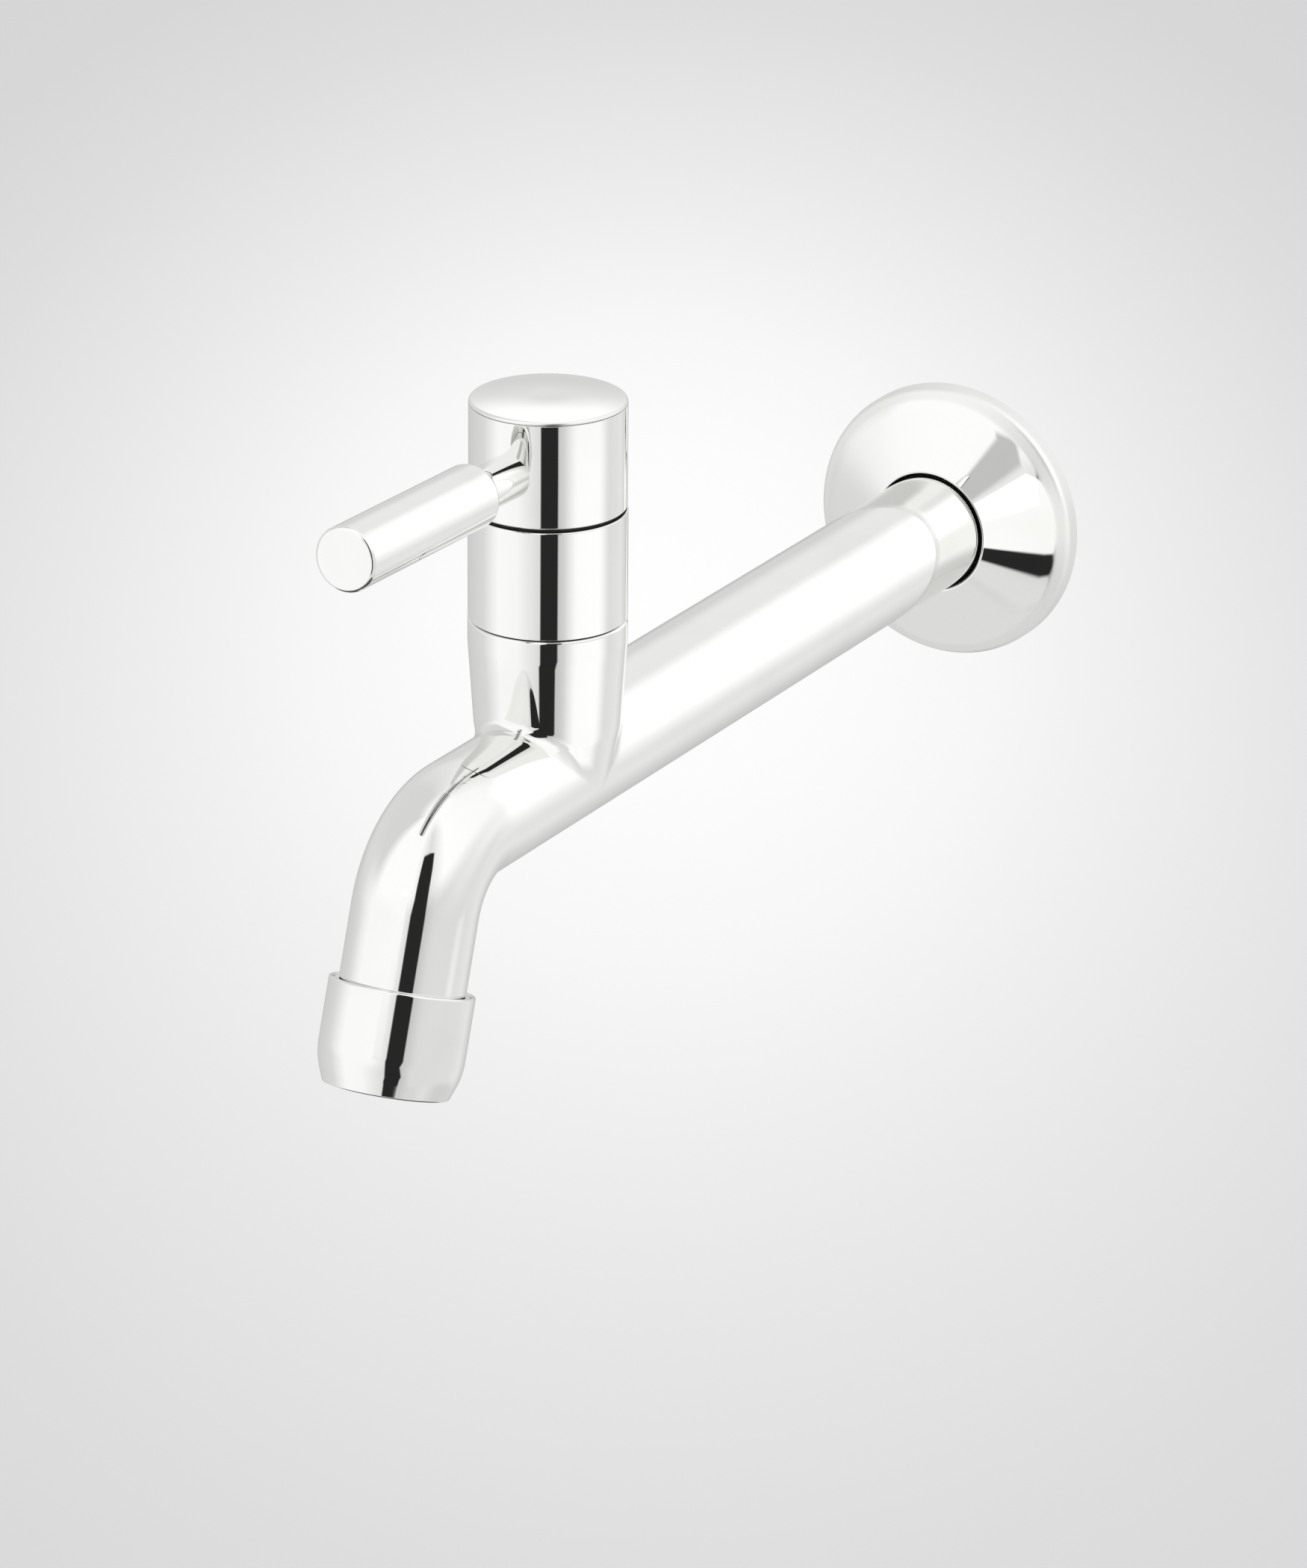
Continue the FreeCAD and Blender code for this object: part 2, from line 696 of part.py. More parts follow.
# wall flange: conical shell with an inner collar and its ring, heights count from the wall
rim_r = flange_diameter / 2
hole_r = barrel_r + flange_hole_gap
ring_r = barrel_r + flange_ring_section
collar_r = ring_r + flange_collar_wall
cone_slope = (flange_height - flange_rim_height) / (rim_r - hole_r)
under_drop = flange_wall / cos(atan2(flange_height - flange_rim_height, rim_r - hole_r))
under_collar = flange_height - (collar_r - hole_r) * cone_slope - under_drop
under_rim = flange_rim_height + flange_wall * cone_slope - under_drop
groove_mid = flange_height - flange_ring_depth
groove_half = flange_ring_section / 2 + flange_groove_fit
collar_foot = flange_height - flange_collar_length
flange = on_axis(turned([
    (rim_r - flange_wall, 0, 0),
    (rim_r, 0, 0),
    (rim_r, flange_rim_height, flange_rim_radius),
    (hole_r, flange_height, flange_lip_radius),
    (hole_r, groove_mid + groove_half, 0),
    (ring_r + flange_groove_fit, groove_mid + groove_half, 0),
    (ring_r + flange_groove_fit, groove_mid - groove_half, 0),
    (hole_r, groove_mid - groove_half, 0),
    (hole_r, collar_foot, 0),
    (collar_r, collar_foot, 0),
    (collar_r, under_collar, 0),
    (rim_r - flange_wall, under_rim, 0)]), V(0, 0, 0), V(0, -1, 0))
flange_ring = on_axis(o_ring(barrel_r, flange_ring_section, groove_mid), V(0, 0, 0), V(0, -1, 0))

# nozzle sleeve, heights count down the spout from the sleeve's upper rim
nozzle_r = nozzle_diameter / 2
nozzle_end_r = nozzle_end_diameter / 2
cavity_r = nozzle_cavity_diameter / 2
lip_r = cavity_r - nozzle_lip_width
taper_start = nozzle_length - nozzle_taper_length
taper_half = atan2(nozzle_r - nozzle_end_r, nozzle_taper_length) / 2
taper_round = (taper_start - nozzle_straight) / tan(taper_half)
washer_low = spout_neck_length + aerator_washer_height
nozzle = on_axis(turned([
    (nozzle_r - nozzle_rim_wall, 0, nozzle_rim_radius),
    (nozzle_r, 0, nozzle_rim_radius),
    (nozzle_r, taper_start, taper_round),
    (nozzle_end_r, nozzle_length, nozzle_end_radius),
    (lip_r, nozzle_length, nozzle_end_radius),
    (lip_r, nozzle_length - nozzle_lip_height, 0),
    (cavity_r, nozzle_length - nozzle_lip_height, 0),
    (cavity_r, washer_low - aerator_fit, 0),
    (neck_r + thread_fit, washer_low - aerator_fit, 0),
    (neck_r + thread_fit, nozzle_recess_depth, 0),
    (nozzle_r - nozzle_rim_wall, nozzle_recess_depth, 0)]), nozzle_top, spout_axis)

# aerator: washer, body, screens and flow straightener
insert_top = washer_low
insert_foot = nozzle_length - nozzle_lip_height
aerator_r = cavity_r - aerator_fit - aerator_body_step
flow_r = aerator_r - aerator_body_wall
washer_hole_r = neck_r - aerator_washer_wall
aerator_washer = plain_ring(washer_hole_r, neck_r, spout_neck_length, washer_low)
aerator_washer = on_axis(aerator_washer, nozzle_top, spout_axis)
aerator_body = on_axis(turned([
    (flow_r, insert_top, 0),
    (cavity_r - aerator_fit, insert_top, 0),
    (cavity_r - aerator_fit, insert_top + aerator_flange_height, 0),
    (aerator_r, insert_top + aerator_flange_height, 0),
    (aerator_r, insert_foot, 0),
    (flow_r - aerator_lip_width, insert_foot, 0),
    (flow_r - aerator_lip_width, insert_foot - aerator_lip_height, 0),
    (flow_r, insert_foot - aerator_lip_height, 0)]), nozzle_top, spout_axis)
screen_r = flow_r - screen_fit
straightener_foot = insert_foot - aerator_lip_height
straightener_top = straightener_foot - straightener_height
screens = []
for i in range(screen_count):
    low = straightener_top - (i + 1) * screen_pitch
    high = low + screen_height
    disc = Part.makeCylinder(screen_r, screen_height, V(0, 0, low))
    disc = disc.cut(grid_of_holes(screen_step, screen_r - screen_rim, screen_hole / 2, low - 1, high + 1))
    screens.append(on_axis(disc, nozzle_top, spout_axis))
straightener = Part.makeCylinder(screen_r, straightener_height, V(0, 0, straightener_top))
straightener = straightener.cut(grid_of_holes(straightener_step, screen_r - screen_rim,
                                              straightener_hole / 2, straightener_top - 1,
                                              straightener_foot + 1))
straightener = on_axis(straightener, nozzle_top, spout_axis)

parts = {
    "tap_body": casting,
    "wall_flange": flange,
    "flange_o_ring": flange_ring,
    "seat_seal": seal,
    "fixed_disc": fixed_disc,
    "moving_disc": moving_disc,
    "cartridge_housing": housing,
    "housing_washer": housing_washer,
    "glide_washer": glide_washer,
    "cartridge_spindle": spindle,
    "spindle_o_rings": Part.makeCompound(spindle_rings),
    "spindle_circlip": circlip,
    "bonnet_sleeve": sleeve,
    "hub_glide_ring": glide_ring,
    "handle_hub": hub,
    "spline_insert": insert,
    "handle_screw": screw,
    "handle_top_cap": cap,
    "top_cap_o_ring": cap_ring,
    "lever_neck": neck,
    "lever_rod": grip,
    "nozzle_sleeve": nozzle,
    "aerator_washer": aerator_washer,
    "aerator_body": aerator_body,
    "aerator_screens": Part.makeCompound(screens),
    "flow_straightener": straightener,
}

os.makedirs("parts", exist_ok=True)
for name, shape in parts.items():
    solids = shape.Solids
    print(name, "solids", len(solids), "valid", shape.isValid(), "volume", round(shape.Volume, 1))
    shape.exportStep("parts/" + name + ".step")
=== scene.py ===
import json
import math
import bpy
import numpy as np
from mathutils import Matrix


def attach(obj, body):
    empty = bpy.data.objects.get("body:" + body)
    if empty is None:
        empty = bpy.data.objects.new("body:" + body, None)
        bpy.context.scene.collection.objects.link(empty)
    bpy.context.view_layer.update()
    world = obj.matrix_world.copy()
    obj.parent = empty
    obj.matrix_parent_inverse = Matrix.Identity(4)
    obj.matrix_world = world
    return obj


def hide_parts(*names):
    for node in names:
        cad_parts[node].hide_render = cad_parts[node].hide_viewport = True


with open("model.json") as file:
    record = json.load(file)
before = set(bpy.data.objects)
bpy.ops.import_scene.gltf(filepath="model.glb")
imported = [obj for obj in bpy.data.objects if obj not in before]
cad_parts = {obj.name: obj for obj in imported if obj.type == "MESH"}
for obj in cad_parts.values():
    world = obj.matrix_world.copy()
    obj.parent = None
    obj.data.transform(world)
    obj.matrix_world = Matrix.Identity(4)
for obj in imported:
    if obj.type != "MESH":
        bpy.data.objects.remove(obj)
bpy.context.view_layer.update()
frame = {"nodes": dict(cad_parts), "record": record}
print("frame loaded:", len(frame["nodes"]), "CAD nodes")

# pieces are given in millimetres, camera and studio in metres as the scene is
mm = 0.001
towerY = -175.5

# camera, where the photograph was taken from
cameraLook = {
    "place": (0.7320, -1.4434, 0.5624),
    "azimuth": 29.173,
    "elevation": 21.138,
    "roll": 0.457,
    "lens": 181.27,
    "sensor": 36,
    "farClip": 60,
}


def setCamera(look):
    data = bpy.data.cameras.new("photoCamera")
    data.lens = look["lens"]
    data.sensor_width = look["sensor"]
    data.clip_end = look["farClip"]
    cam = bpy.data.objects.new("photoCamera", data)
    bpy.context.scene.collection.objects.link(cam)
    turn = Matrix.Rotation(math.radians(look["azimuth"]), 4, "Z")
    tilt = Matrix.Rotation(math.radians(90 - look["elevation"]), 4, "X")
    roll = Matrix.Rotation(math.radians(look["roll"]), 4, "Z")
    cam.matrix_world = Matrix.Translation(look["place"]) @ turn @ tilt @ roll
    bpy.context.scene.camera = cam


setCamera(cameraLook)
bpy.context.scene.view_settings.view_transform = "Standard"
print("camera set")


# small helpers for node trees
def putNode(tree, kind, **settings):
    node = tree.nodes.new(kind)
    for key, value in settings.items():
        setattr(node, key, value)
    return node


def feed(tree, socket, value):
    if isinstance(value, bpy.types.NodeSocket):
        tree.links.new(value, socket)
    else:
        socket.default_value = value


def calc(tree, operation, *values, clamp=False):
    node = putNode(tree, "ShaderNodeMath", operation=operation, use_clamp=clamp)
    for socket, value in zip(node.inputs, values):
        feed(tree, socket, value)
    return node.outputs[0]


def easeBetween(tree, value, low, high):
    # 0 at low, 1 at high, smooth between and flat beyond
    node = putNode(tree, "ShaderNodeMapRange", interpolation_type="SMOOTHSTEP")
    for name, given in (("Value", value), ("From Min", low), ("From Max", high)):
        feed(tree, node.inputs[name], given)
    return node.outputs["Result"]


def blendValue(tree, factor, low, high):
    node = putNode(tree, "ShaderNodeMix", data_type="FLOAT")
    feed(tree, node.inputs[0], factor)
    feed(tree, node.inputs[2], low)
    feed(tree, node.inputs[3], high)
    return node.outputs[0]


def blendColour(tree, factor, low, high):
    node = putNode(tree, "ShaderNodeMix", data_type="RGBA")
    feed(tree, node.inputs[0], factor)
    node.inputs[6].default_value = (*low, 1)
    node.inputs[7].default_value = (*high, 1)
    return node.outputs[2]


def greyColour(tree, value):
    node = putNode(tree, "ShaderNodeCombineColor")
    for socket in node.inputs:
        feed(tree, socket, value)
    return node.outputs[0]


def noiseAt(tree, vector, scale, detail=2.0, stretch=None):
    # stretch is a turn and a scale for each axis
    if stretch:
        mapping = putNode(tree, "ShaderNodeMapping")
        feed(tree, mapping.inputs["Vector"], vector)
        mapping.inputs["Rotation"].default_value = stretch[0]
        mapping.inputs["Scale"].default_value = stretch[1]
        vector = mapping.outputs[0]
    node = putNode(tree, "ShaderNodeTexNoise")
    feed(tree, node.inputs["Vector"], vector)
    feed(tree, node.inputs["Scale"], scale)
    node.inputs["Detail"].default_value = detail
    return node.outputs["Fac"]


def curveOf(tree, value, points, low, high):
    # a value read off a curve of given (in, out) points, out between low and high
    inLow, inHigh = points[0][0], points[-1][0]
    node = putNode(tree, "ShaderNodeFloatCurve")
    curve = node.mapping.curves[0]
    spots = [((x - inLow) / (inHigh - inLow), (y - low) / (high - low)) for x, y in points]
    curve.points[0].location = spots[0]
    curve.points[1].location = spots[-1]
    for spot in spots[1:-1]:
        curve.points.new(*spot)
    for point in curve.points:
        point.handle_type = "VECTOR"
    node.mapping.update()
    share = calc(tree, "DIVIDE", calc(tree, "SUBTRACT", value, inLow), inHigh - inLow, clamp=True)
    tree.links.new(share, node.inputs["Value"])
    return calc(tree, "MULTIPLY_ADD", node.outputs[0], high - low, low)


# studio: a bright tent with one narrow dark gap in front, one grey card beside it and a dark foot straight
# below, greyer behind the tap; tones are as chrome shows them; turns are degrees from the
# camera, positive to its right, and heights are degrees above level
chromeShare = 0.85
studioLight = {
    "white": 1.0,
    "low": [(-180, 0.45), (-150, 0.58), (-105, 0.68), (-75, 0.95), (-45, 0.93), (-15, 0.73), (15, 0.55),
            (30, 0.70), (100, 0.72), (130, 0.77), (155, 0.58), (180, 0.45)],
    "side": [(-180, 0.62), (-120, 0.70), (-84, 0.95), (-30, 0.95), (15, 0.52), (36, 0.69), (84, 0.80),
             (112, 0.92), (130, 0.74), (180, 0.62)],
    "high": [(-180, 0.80), (-150, 0.66), (-98, 0.66), (-80, 0.98), (-12, 0.98), (15, 0.72), (45, 1.0),
             (120, 0.95), (150, 0.80), (180, 0.80)],
    "below": [(-180, 0.66), (-60, 0.72), (0, 0.72), (25, 0.62), (60, 0.74), (90, 0.62), (180, 0.62)],
    "lowToSide": (-12, 4),
    "sideToHigh": (8, 28),
    "toBelow": (-33, -42),
    "zenith": (66, 84),
    "nadir": (-47, -54),
    "nadirTone": 0.08,
    "gapTone": 0.020,
    "gapSoft": 1.3,
    "gapLeft": [(-36, -12.5), (-26, -12), (-19, -9.7), (6, -8.4), (22, -3), (55, 1)],
    "gapRight": [(-36, 10), (-24, 13), (-19, 15.5), (-4, 13.5), (4, 19), (38, 24), (50, 24), (53, 12)],
    "gapLeftRange": (-20, 5),
    "gapRightRange": (0, 30),
    "gapTop": 52.5,
    "gapFoot": -34.5,
    "card": {"around": (-29, -16.5), "height": (10, 27), "soft": (1.5, 2.5), "tone": 0.53},
}

# the floor's colour holds a painted pool of light, palest round its middle and fading outward to farTone
paleFloor = {
    "reach": 12.0,
    "drop": -0.30,
    "middle": (-0.432, 0.642),
    "spread": (0.226, 0.627),
    "lightPoolFade": [(0, 0.995), (0.25, 0.975), (0.475, 0.93), (0.675, 0.86), (0.85, 0.805), (1.13, 0.73),
             (1.43, 0.68), (3, 0.62)],
    "farTone": 0.62,
}


def easeWindow(tree, value, limits, soft):
    rise = easeBetween(tree, value, limits[0] - soft, limits[0] + soft)
    fall = easeBetween(tree, calc(tree, "SUBTRACT", limits[1], value), -soft, soft)
    return calc(tree, "MULTIPLY", rise, fall)


def buildWorld(look, turn, backdropTone):
    world = bpy.data.worlds.new("lightTent")
    bpy.context.scene.world = world
    world.use_nodes = True
    tree = world.node_tree
    tree.nodes.clear()
    direction = putNode(tree, "ShaderNodeTexCoord").outputs["Generated"]
    spin = putNode(tree, "ShaderNodeVectorRotate", rotation_type="Z_AXIS")
    tree.links.new(direction, spin.inputs["Vector"])
    spin.inputs["Angle"].default_value = -math.radians(turn)
    parts = putNode(tree, "ShaderNodeSeparateXYZ")
    tree.links.new(spin.outputs[0], parts.inputs[0])
    x, y, z = parts.outputs
    around = calc(tree, "DEGREES", calc(tree, "ARCTAN2", x, calc(tree, "MULTIPLY", y, -1)))
    height = calc(tree, "DEGREES", calc(tree, "ARCSINE", z))

    level = curveOf(tree, around, look["low"], 0, 1)
    for ring, band in (("side", "lowToSide"), ("high", "sideToHigh"), ("below", "toBelow")):
        tone = curveOf(tree, around, look[ring], 0, 1)
        level = blendValue(tree, easeBetween(tree, height, *look[band]), level, tone)
    level = blendValue(tree, easeBetween(tree, height, *look["zenith"]), level, look["white"])
    level = blendValue(tree, easeBetween(tree, height, *look["nadir"]), level, look["nadirTone"])
    left = curveOf(tree, height, look["gapLeft"], *look["gapLeftRange"])
    right = curveOf(tree, height, look["gapRight"], *look["gapRightRange"])
    soft = look["gapSoft"]
    inLeft = easeBetween(tree, calc(tree, "SUBTRACT", around, left), -soft, soft)
    inRight = easeBetween(tree, calc(tree, "SUBTRACT", right, around), -soft, soft)
    inHeight = easeWindow(tree, height, (look["gapFoot"], look["gapTop"]), soft)
    gap = calc(tree, "MULTIPLY", calc(tree, "MULTIPLY", inLeft, inRight), inHeight)
    card = look["card"]
    onCard = calc(tree, "MULTIPLY", easeWindow(tree, around, card["around"], card["soft"][0]),
                  easeWindow(tree, height, card["height"], card["soft"][1]))
    level = blendValue(tree, onCard, level, card["tone"])
    level = blendValue(tree, gap, level, look["gapTone"])
    level = calc(tree, "DIVIDE", level, chromeShare)

    path = putNode(tree, "ShaderNodeLightPath")
    level = blendValue(tree, path.outputs["Is Glossy Ray"], look["white"], level)
    level = blendValue(tree, path.outputs["Is Camera Ray"], level, backdropTone)
    back = putNode(tree, "ShaderNodeBackground")
    tree.links.new(greyColour(tree, level), back.inputs["Color"])
    out = putNode(tree, "ShaderNodeOutputWorld")
    tree.links.new(back.outputs[0], out.inputs["Surface"])


def buildFloor(look, turn):
    reach, drop = look["reach"], look["drop"]
    mesh = bpy.data.meshes.new("paleFloor")
    corners = [(-reach, -reach, drop), (reach, -reach, drop), (reach, reach, drop), (-reach, reach, drop)]
    mesh.from_pydata(corners, [], [(0, 1, 2, 3)])
    floor = bpy.data.objects.new("paleFloor", mesh)
    bpy.context.scene.collection.objects.link(floor)
    floor.visible_glossy = False
    mat = bpy.data.materials.new("paleFloor")
    mat.use_nodes = True
    tree = mat.node_tree
    shader = tree.nodes["Principled BSDF"]
    shader.inputs["Roughness"].default_value = 1
    shader.inputs["Specular IOR Level"].default_value = 0
    place = putNode(tree, "ShaderNodeMapping", vector_type="TEXTURE")
    tree.links.new(putNode(tree, "ShaderNodeTexCoord").outputs["Object"], place.inputs["Vector"])
    place.inputs["Location"].default_value = (*look["middle"], drop)
    place.inputs["Rotation"].default_value = (0, 0, math.radians(turn))
    place.inputs["Scale"].default_value = (*look["spread"], 1)
    far = putNode(tree, "ShaderNodeVectorMath", operation="LENGTH")
    tree.links.new(place.outputs[0], far.inputs[0])
    # painted pool of light: the tone falls with the distance from the middle
    tone = curveOf(tree, far.outputs["Value"], look["lightPoolFade"], 0, 1)
    tree.links.new(greyColour(tree, tone), shader.inputs["Base Color"])
    mesh.materials.append(mat)


buildWorld(studioLight, cameraLook["azimuth"], paleFloor["farTone"])
buildFloor(paleFloor, cameraLook["azimuth"])
print("studio built")


# finishes: shared effect groups first, then one material for each finish
def newGroup(name, inputs, outputs):
    group = bpy.data.node_groups.new(name, "ShaderNodeTree")
    for title, value in inputs:
        socket = group.interface.new_socket(name=title, in_out="INPUT", socket_type="NodeSocketFloat")
        socket.default_value = value
    for title in outputs:
        group.interface.new_socket(name=title, in_out="OUTPUT", socket_type="NodeSocketFloat")
    given = putNode(group, "NodeGroupInput").outputs
    result = putNode(group, "NodeGroupOutput").inputs
    place = putNode(group, "ShaderNodeTexCoord").outputs["Object"]
    return group, given, result, place


def makePolishGroup():
    # hand-polished plate: slow waves, wiping streaks, a few dull smudges and dried drops
    group, given, result, place = newGroup(
        "handPolish",
        (("Wave Scale", 45.0), ("Wave Height", 1.0), ("Wipe Scale", 700.0), ("Wipe Height", 0.02),
         ("Smudge Scale", 55.0), ("Plain Roughness", 0.03), ("Smudge Roughness", 0.02)),
        ("Tone", "Roughness", "Height"))
    wave = noiseAt(group, place, given["Wave Scale"], 1)
    wipe = noiseAt(group, place, given["Wipe Scale"], 3, ((0.3, 0.5, 0.9), (1, 0.05, 1)))
    smudge = easeBetween(group, noiseAt(group, place, given["Smudge Scale"], 5), 0.5, 0.74)
    drops = putNode(group, "ShaderNodeTexVoronoi")
    feed(group, drops.inputs["Vector"], place)
    feed(group, drops.inputs["Scale"], calc(group, "MULTIPLY", given["Smudge Scale"], 4))
    spread = calc(group, "SUBTRACT", 1, easeBetween(group, drops.outputs["Distance"], 0.10, 0.16))
    rareScale = calc(group, "MULTIPLY", given["Smudge Scale"], 0.7)
    rare = easeBetween(group, noiseAt(group, place, rareScale, 1), 0.58, 0.66)
    drop = calc(group, "MULTIPLY", spread, rare)
    dull = calc(group, "MAXIMUM", smudge, drop)
    streak = calc(group, "MULTIPLY", calc(group, "SUBTRACT", wipe, 0.5), 0.6)
    patchy = calc(group, "MULTIPLY", dull, calc(group, "ADD", 1, streak))
    extra = calc(group, "MULTIPLY", given["Smudge Roughness"], patchy)
    feed(group, result["Tone"], dull)
    feed(group, result["Roughness"], calc(group, "ADD", given["Plain Roughness"], extra))
    feed(group, result["Height"], calc(group, "ADD", calc(group, "MULTIPLY", wave, given["Wave Height"]),
                                       calc(group, "MULTIPLY", wipe, given["Wipe Height"])))
    return group


def makeGrainGroup():
    # moulded or sintered skin: fine grain, flow marks and slow mottling
    group, given, result, place = newGroup(
        "mouldedSkin",
        (("Grain Scale", 2500.0), ("Mottle Scale", 160.0), ("Plain Roughness", 0.5),
         ("Roughness Spread", 0.15)),
        ("Tone", "Roughness", "Height"))
    grain = noiseAt(group, place, given["Grain Scale"], 4)
    mottle = noiseAt(group, place, given["Mottle Scale"], 3, ((0.2, 0.1, 0.4), (1, 1, 0.3)))
    swing = calc(group, "MULTIPLY", calc(group, "SUBTRACT", mottle, 0.5), given["Roughness Spread"])
    feed(group, result["Tone"], easeBetween(group, mottle, 0.35, 0.7))
    feed(group, result["Roughness"], calc(group, "ADD", given["Plain Roughness"], swing))
    feed(group, result["Height"], calc(group, "ADD", grain, calc(group, "MULTIPLY", mottle, 0.5)))
    return group


def makeTurningGroup():
    # tool marks of a lathe: fine rings round the upright axis of the tower, with stains
    group, given, result, place = newGroup(
        "latheMarks",
        (("Ring Scale", 1800.0), ("Stain Scale", 220.0), ("Plain Roughness", 0.25),
         ("Stain Roughness", 0.25)),
        ("Tone", "Roughness", "Height"))
    rings = noiseAt(group, place, given["Ring Scale"], 2, ((0, 0, 0), (0.04, 0.04, 1)))
    stain = easeBetween(group, noiseAt(group, place, given["Stain Scale"], 5), 0.42, 0.68)
    feed(group, result["Tone"], stain)
    stained = calc(group, "MULTIPLY_ADD", stain, given["Stain Roughness"], given["Plain Roughness"])
    feed(group, result["Roughness"], stained)
    feed(group, result["Height"], rings)
    return group


effectGroups = {"polish": makePolishGroup(), "skin": makeGrainGroup(), "lathe": makeTurningGroup()}


def makeFinish(name, look, softRim=None):
    mat = bpy.data.materials.new(name)
    mat.use_nodes = True
    tree = mat.node_tree
    shader = tree.nodes["Principled BSDF"]
    shader.inputs["Metallic"].default_value = look["metallic"]
    effect = putNode(tree, "ShaderNodeGroup")
    effect.node_tree = effectGroups[look["effect"]]
    for key, value in look["settings"].items():
        effect.inputs[key].default_value = value
    colour = blendColour(tree, effect.outputs["Tone"], look["clean"], look["dull"])
    feed(tree, shader.inputs["Base Color"], colour)
    roughness = effect.outputs["Roughness"]
    if softRim:
        # the buffing wheel rounds and dulls the rim a little: distance from the piece's own axis
        place = putNode(tree, "ShaderNodeMapping", vector_type="TEXTURE")
        tree.links.new(putNode(tree, "ShaderNodeTexCoord").outputs["Object"], place.inputs["Vector"])
        place.inputs["Location"].default_value = softRim["place"]
        place.inputs["Scale"].default_value = softRim["scale"]
        far = putNode(tree, "ShaderNodeVectorMath", operation="LENGTH")
        tree.links.new(place.outputs[0], far.inputs[0])
        edge = easeBetween(tree, far.outputs["Value"], *softRim["from"])
        roughness = calc(tree, "MULTIPLY_ADD", edge, softRim["roughness"], roughness)
    feed(tree, shader.inputs["Roughness"], roughness)
    bump = putNode(tree, "ShaderNodeBump")
    bump.inputs["Distance"].default_value = look["depth"] * mm
    feed(tree, bump.inputs["Height"], effect.outputs["Height"])
    feed(tree, shader.inputs["Normal"], bump.outputs["Normal"])
    return mat


chromeClean = (chromeShare, chromeShare, chromeShare * 0.98)
chromeDull = (chromeShare * 0.97, chromeShare * 0.97, chromeShare * 0.945)
finishLooks = {
    "castChrome": {"effect": "polish", "metallic": 1, "clean": chromeClean, "dull": chromeDull,
                   "depth": 0.035,
                   "settings": {"Wave Scale": 60, "Plain Roughness": 0.03, "Smudge Roughness": 0.015}},
    "turnedChrome": {"effect": "polish", "metallic": 1, "clean": chromeClean, "dull": chromeDull,
                     "depth": 0.012,
                     "settings": {"Wave Scale": 40, "Plain Roughness": 0.025, "Smudge Roughness": 0.012}},
    # painted shade: near black for the inner faces of recesses and bores, mottled by the lathe group's stains
    "paintedShadeInside": {"effect": "lathe", "metallic": 0, "clean": (0.012, 0.013, 0.012),
                   "dull": (0.03, 0.027, 0.022), "depth": 0.02, "settings": {"Plain Roughness": 0.6}},
    "bareBrass": {"effect": "lathe", "metallic": 1, "clean": (0.72, 0.50, 0.20), "dull": (0.48, 0.30, 0.12),
                  "depth": 0.01, "settings": {"Plain Roughness": 0.22}},
    "stainlessSteel": {"effect": "lathe", "metallic": 1, "clean": (0.60, 0.60, 0.61),
                       "dull": (0.50, 0.49, 0.48), "depth": 0.006,
                       "settings": {"Plain Roughness": 0.28, "Stain Roughness": 0.1}},
    "blackRubber": {"effect": "skin", "metallic": 0, "clean": (0.014, 0.014, 0.014),
                    "dull": (0.03, 0.03, 0.03), "depth": 0.01, "settings": {"Plain Roughness": 0.55}},
    "blackPlastic": {"effect": "skin", "metallic": 0, "clean": (0.012, 0.013, 0.012),
                     "dull": (0.022, 0.023, 0.022), "depth": 0.006, "settings": {"Plain Roughness": 0.4}},
    "whitePlastic": {"effect": "skin", "metallic": 0, "clean": (0.80, 0.80, 0.78),
                     "dull": (0.70, 0.69, 0.65), "depth": 0.006, "settings": {"Plain Roughness": 0.4}},
    "lappedCeramic": {"effect": "skin", "metallic": 0, "clean": (0.84, 0.84, 0.80),
                      "dull": (0.76, 0.75, 0.70), "depth": 0.002,
                      "settings": {"Grain Scale": 4000, "Plain Roughness": 0.2, "Roughness Spread": 0.05}},
}
finishes = {name: makeFinish(name, look) for name, look in finishLooks.items()}
squash = 1e6  # as a scale, leaves the piece's own axis out of the distance
flangeRim = {"place": (0, 0, 0), "scale": (1, squash, 1), "from": (26.8 * mm, 28.2 * mm), "roughness": 0.42}
capRim = {"place": (0, towerY * mm, 0), "scale": (1, 1, squash), "from": (14.7 * mm, 15.4 * mm),
          "roughness": 0.25}
finishes["flangeChrome"] = makeFinish("flangeChrome", finishLooks["turnedChrome"], flangeRim)
finishes["capChrome"] = makeFinish("capChrome", finishLooks["turnedChrome"], capRim)
print("finishes made:", ", ".join(finishes))


# shells made of rows: every turned piece and the casting
turnedSides = 224
turnedArcStep = 5


def roundedOutline(corners, arcStep):
    # corners (radius, height, rounding) walked with the solid on the left; gives each point with the
    # normals of the stretches before and after it
    count = len(corners)
    isOpen = corners[0][0] == 0 or corners[0][2] is None
    spots = [np.array(corner[:2], float) for corner in corners]
    knots = []
    for i, corner in enumerate(corners):
        back = spots[i - 1] - spots[i]
        ahead = spots[(i + 1) % count] - spots[i]
        arriving = np.array((-back[1], back[0])) / np.hypot(*back)
        leaving = np.array((ahead[1], -ahead[0])) / np.hypot(*ahead)
        if isOpen and i == 0:
            arriving = leaving
        if isOpen and i == count - 1:
            leaving = arriving
        rounding = corner[2] or 0
        if rounding == 0:
            knots.append((spots[i], arriving, leaving))
            continue
        turn = math.atan2(arriving[0] * leaving[1] - arriving[1] * leaving[0], arriving @ leaving)
        side = math.copysign(1, turn)
        reach = rounding * abs(math.tan(turn / 2))
        middle = spots[i] + back / np.hypot(*back) * reach - arriving * rounding * side
        steps = max(2, math.ceil(abs(math.degrees(turn)) / arcStep))
        for step in range(steps + 1):
            angle = turn * step / steps
            normal = np.array((arriving[0] * math.cos(angle) - arriving[1] * math.sin(angle),
                               arriving[0] * math.sin(angle) + arriving[1] * math.cos(angle)))
            knots.append((middle + normal * rounding * side, normal, normal))
    return knots, isOpen


